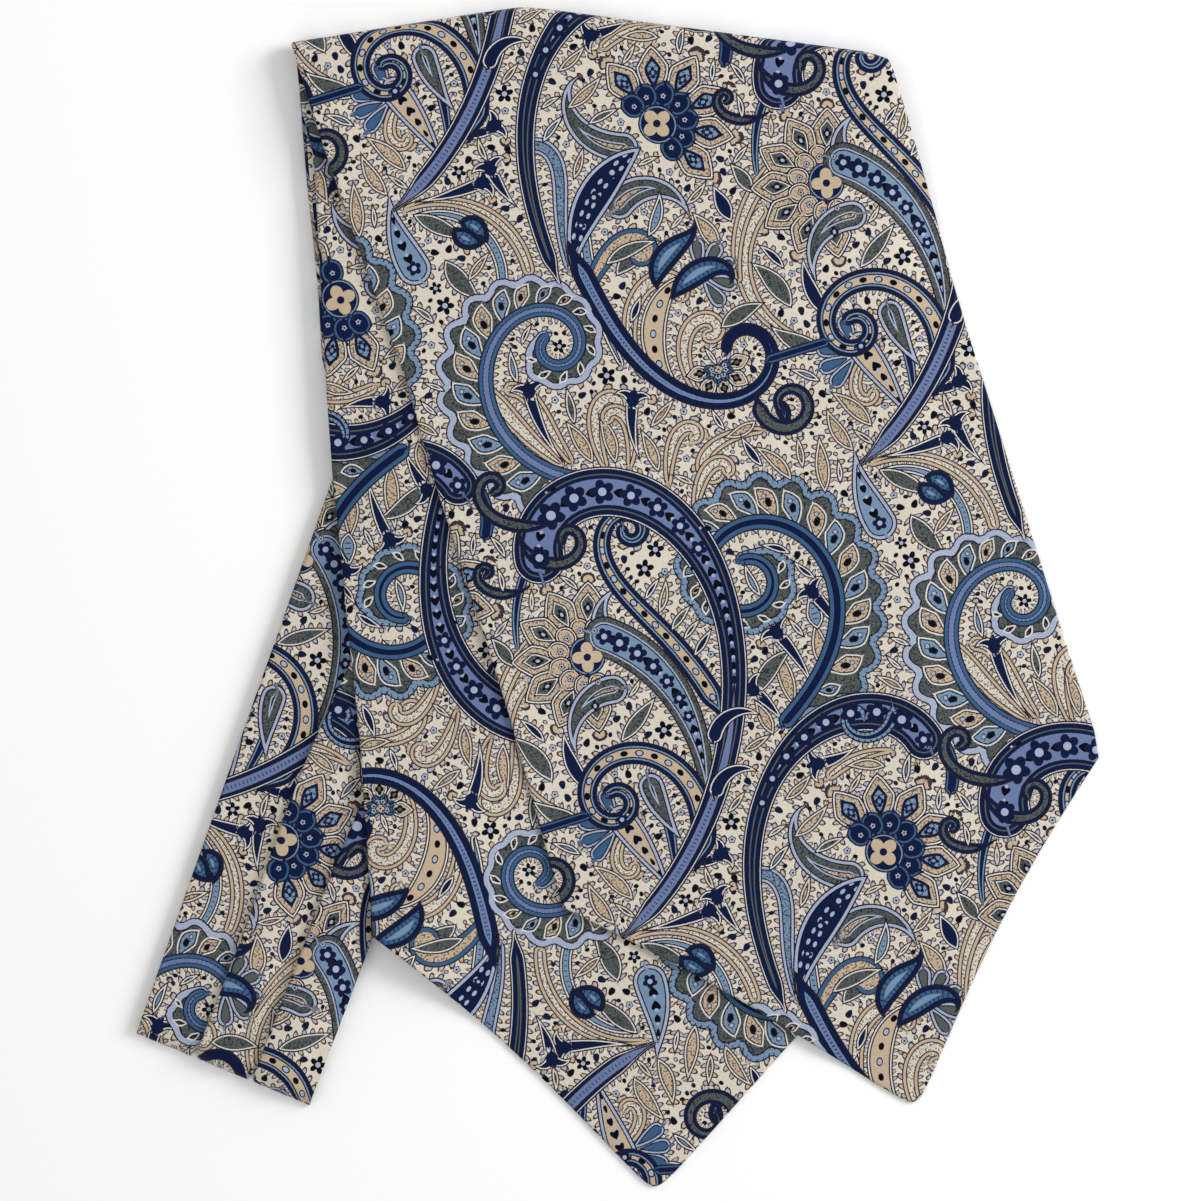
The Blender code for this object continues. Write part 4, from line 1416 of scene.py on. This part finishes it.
def printed_silk():
    """The silk: its print, a fine diagonal twill, small differences of ink and a soft sheen."""
    material = bpy.data.materials.new("printed_silk")
    nodes = Nodes(material)
    cloth = nodes.add("UVMap", {"uv_map": "cloth"})
    u, v, _ = cloth.parts()
    grain = nodes.noise(cloth, 1.4, 3.0) - 0.5
    cloudy = nodes.noise(cloth, 0.06, 2.0) - 0.5
    twill = ((u + v) * (2 * math.pi / TWILL_PITCH)).math("SINE")
    ribs = ((u - v) * (2 * math.pi / RIB_PITCH)).math("SINE")
    wobble = grain * 0.16 + twill * 0.025
    colour = mark_colour(nodes, ribbon_colour(nodes, wobble, cloth), wobble)
    shade = 0.955 + (twill * 0.12 + ribs * 0.05 + grain * 0.34 + cloudy * 0.08)
    height = twill * 0.5 + ribs * 0.25 + grain * 0.6
    nodes.fill(nodes.shader, {
        "Base Color": nodes.mix(1.0, colour, nodes.grey(shade), blend="MULTIPLY"),
        "Roughness": 0.5 + cloudy * 0.12 + twill * 0.03,
        "Normal": nodes.add("Bump", (), {"Strength": 0.35, "Distance": 0.00006, "Height": height}),
        "Sheen Weight": 0.005,
        "Sheen Roughness": 0.4,
        "Specular IOR Level": 0.04,
    })
    return material


# ---- making the pieces
def add_object(name, data):
    item = bpy.data.objects.new(name, data)
    bpy.context.scene.collection.objects.link(item)
    return item


def new_mesh(name, vertices, groups):
    """A mesh from vertices in millimetres and groups of faces, with the maps of the print
    and of the finish, and the print's numbers as colours of the faces' corners."""
    mesh = bpy.data.meshes.new(name)
    faces = [face for group in groups for face in group.corners.tolist()]
    mesh.from_pydata((vertices * MM).tolist(), [], faces)
    for title, places in (("cloth", "flat"), ("OFBake", "sheet")):
        uv = np.concatenate([getattr(group, places).ravel() for group in groups])
        mesh.uv_layers.new(name=title).data.foreach_set("uv", uv.astype(np.float32))
    mesh.shade_smooth()
    for title in groups[0].layers:
        values = np.concatenate([group.layers[title].ravel() for group in groups])
        mesh.attributes.new(title, "FLOAT_COLOR", "CORNER").data.foreach_set("color", values)
    return mesh


def make_cravat():
    shells = {
        "front_silk": blade_shell(*blade_grid(FRONT, under_front_blade, 0.0)),
        "back_silk": blade_shell(*blade_grid(BACK, under_back_blade, BACK.inset)),
        "band_silk": band_shell(),
        "folds_silk": hidden_shell(),
    }
    lay_print([group for _, groups in shells.values() for group in groups])
    silk = printed_silk()
    pieces = {}
    for name, (vertices, groups) in shells.items():
        mesh = new_mesh(name, vertices, groups)
        mesh.materials.append(silk)
        pieces[name] = add_object(name, mesh)
    return pieces


# Node, cut size across and along in metres, area of the cut in square metres, what it lies on
SHEETS = {
    "front_silk": ("front_blade", (0.162, 0.335), 0.0452, ("back_silk",)),
    "back_silk": ("back_blade", (0.160, 0.340), 0.0440, ("folds_silk", "band_silk")),
    "band_silk": ("neck_band", (0.080, 0.184), 0.0147, ("folds_silk",)),
    "folds_silk": ("hidden_folds", (0.150, 0.290), 0.0290, ()),
}

# ---- table, light and camera
VIEW_CENTRE = (-5.13, -0.855)
VIEW_WIDTH = 342.0
CAMERA_HEIGHT = 3000.0
SENSOR_WIDTH = 36.0
CAMERA_FAR = 20.0
TABLE_HALF = 2.5
TABLE_TONE = 0.985
ROOM_LIGHT = 0.6


def add_table():
    mesh = bpy.data.meshes.new("table")
    corners = ((-1, -1, 0), (1, -1, 0), (1, 1, 0), (-1, 1, 0))
    mesh.from_pydata([[TABLE_HALF * part for part in corner] for corner in corners], [], [(0, 1, 2, 3)])
    material = bpy.data.materials.new("white_table")
    nodes = Nodes(material)
    place = nodes.add("TexCoord", output="Object")
    mottle = nodes.add("TexNoise", (), {"Vector": place, "Scale": 9.0, "Detail": 3.0})
    tone = nodes.grey(TABLE_TONE + (mottle - 0.5) * 0.005)
    nodes.fill(nodes.shader, {"Base Color": tone, "Roughness": 0.9})
    mesh.materials.append(material)
    add_object("table", mesh)


def add_light(name, place, size, power):
    """A square lamp at a place in metres that shines at the middle of the table. It turns
    about X by the arc sine of how far it faces along Y, and about Y by that of X over Z."""
    facing = [-part / math.dist(place, (0, 0, 0)) for part in place]
    lamp = bpy.data.lights.new(name, "AREA")
    lamp.size = size
    lamp.energy = power
    light = add_object(name, lamp)
    light.location = place
    light.rotation_euler = (math.asin(facing[1]), math.atan2(-facing[0], -facing[2]), 0.0)


def add_camera():
    lens = bpy.data.cameras.new("overhead")
    lens.sensor_fit = "HORIZONTAL"
    lens.sensor_width = SENSOR_WIDTH
    lens.lens = SENSOR_WIDTH * CAMERA_HEIGHT / VIEW_WIDTH
    lens.clip_end = CAMERA_FAR
    camera = add_object("overhead", lens)
    camera.location = (VIEW_CENTRE[0] * MM, VIEW_CENTRE[1] * MM, CAMERA_HEIGHT * MM)
    bpy.context.scene.camera = camera


def light_room():
    world = bpy.data.worlds.new("pale_room")
    world.use_nodes = True
    backdrop = world.node_tree.nodes["Background"]
    backdrop.inputs["Color"].default_value = (1.0, 1.0, 1.0, 1)
    backdrop.inputs["Strength"].default_value = ROOM_LIGHT
    bpy.context.scene.world = world
    bpy.context.scene.view_settings.view_transform = "Standard"
    add_light("window", (1.1, 0.5, 0.8), 0.7, 15.0)
    add_light("fill", (-0.9, -0.5, 1.4), 1.2, 3.0)


def main():
    pieces = make_cravat()
    for name, (node, *_) in SHEETS.items():
        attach(pieces[name], "root")
        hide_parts(node)
    for name, (_, flat, area, others) in SHEETS.items():
        below = [pieces[other] for other in others]
    add_table()
    light_room()
    add_camera()


main()
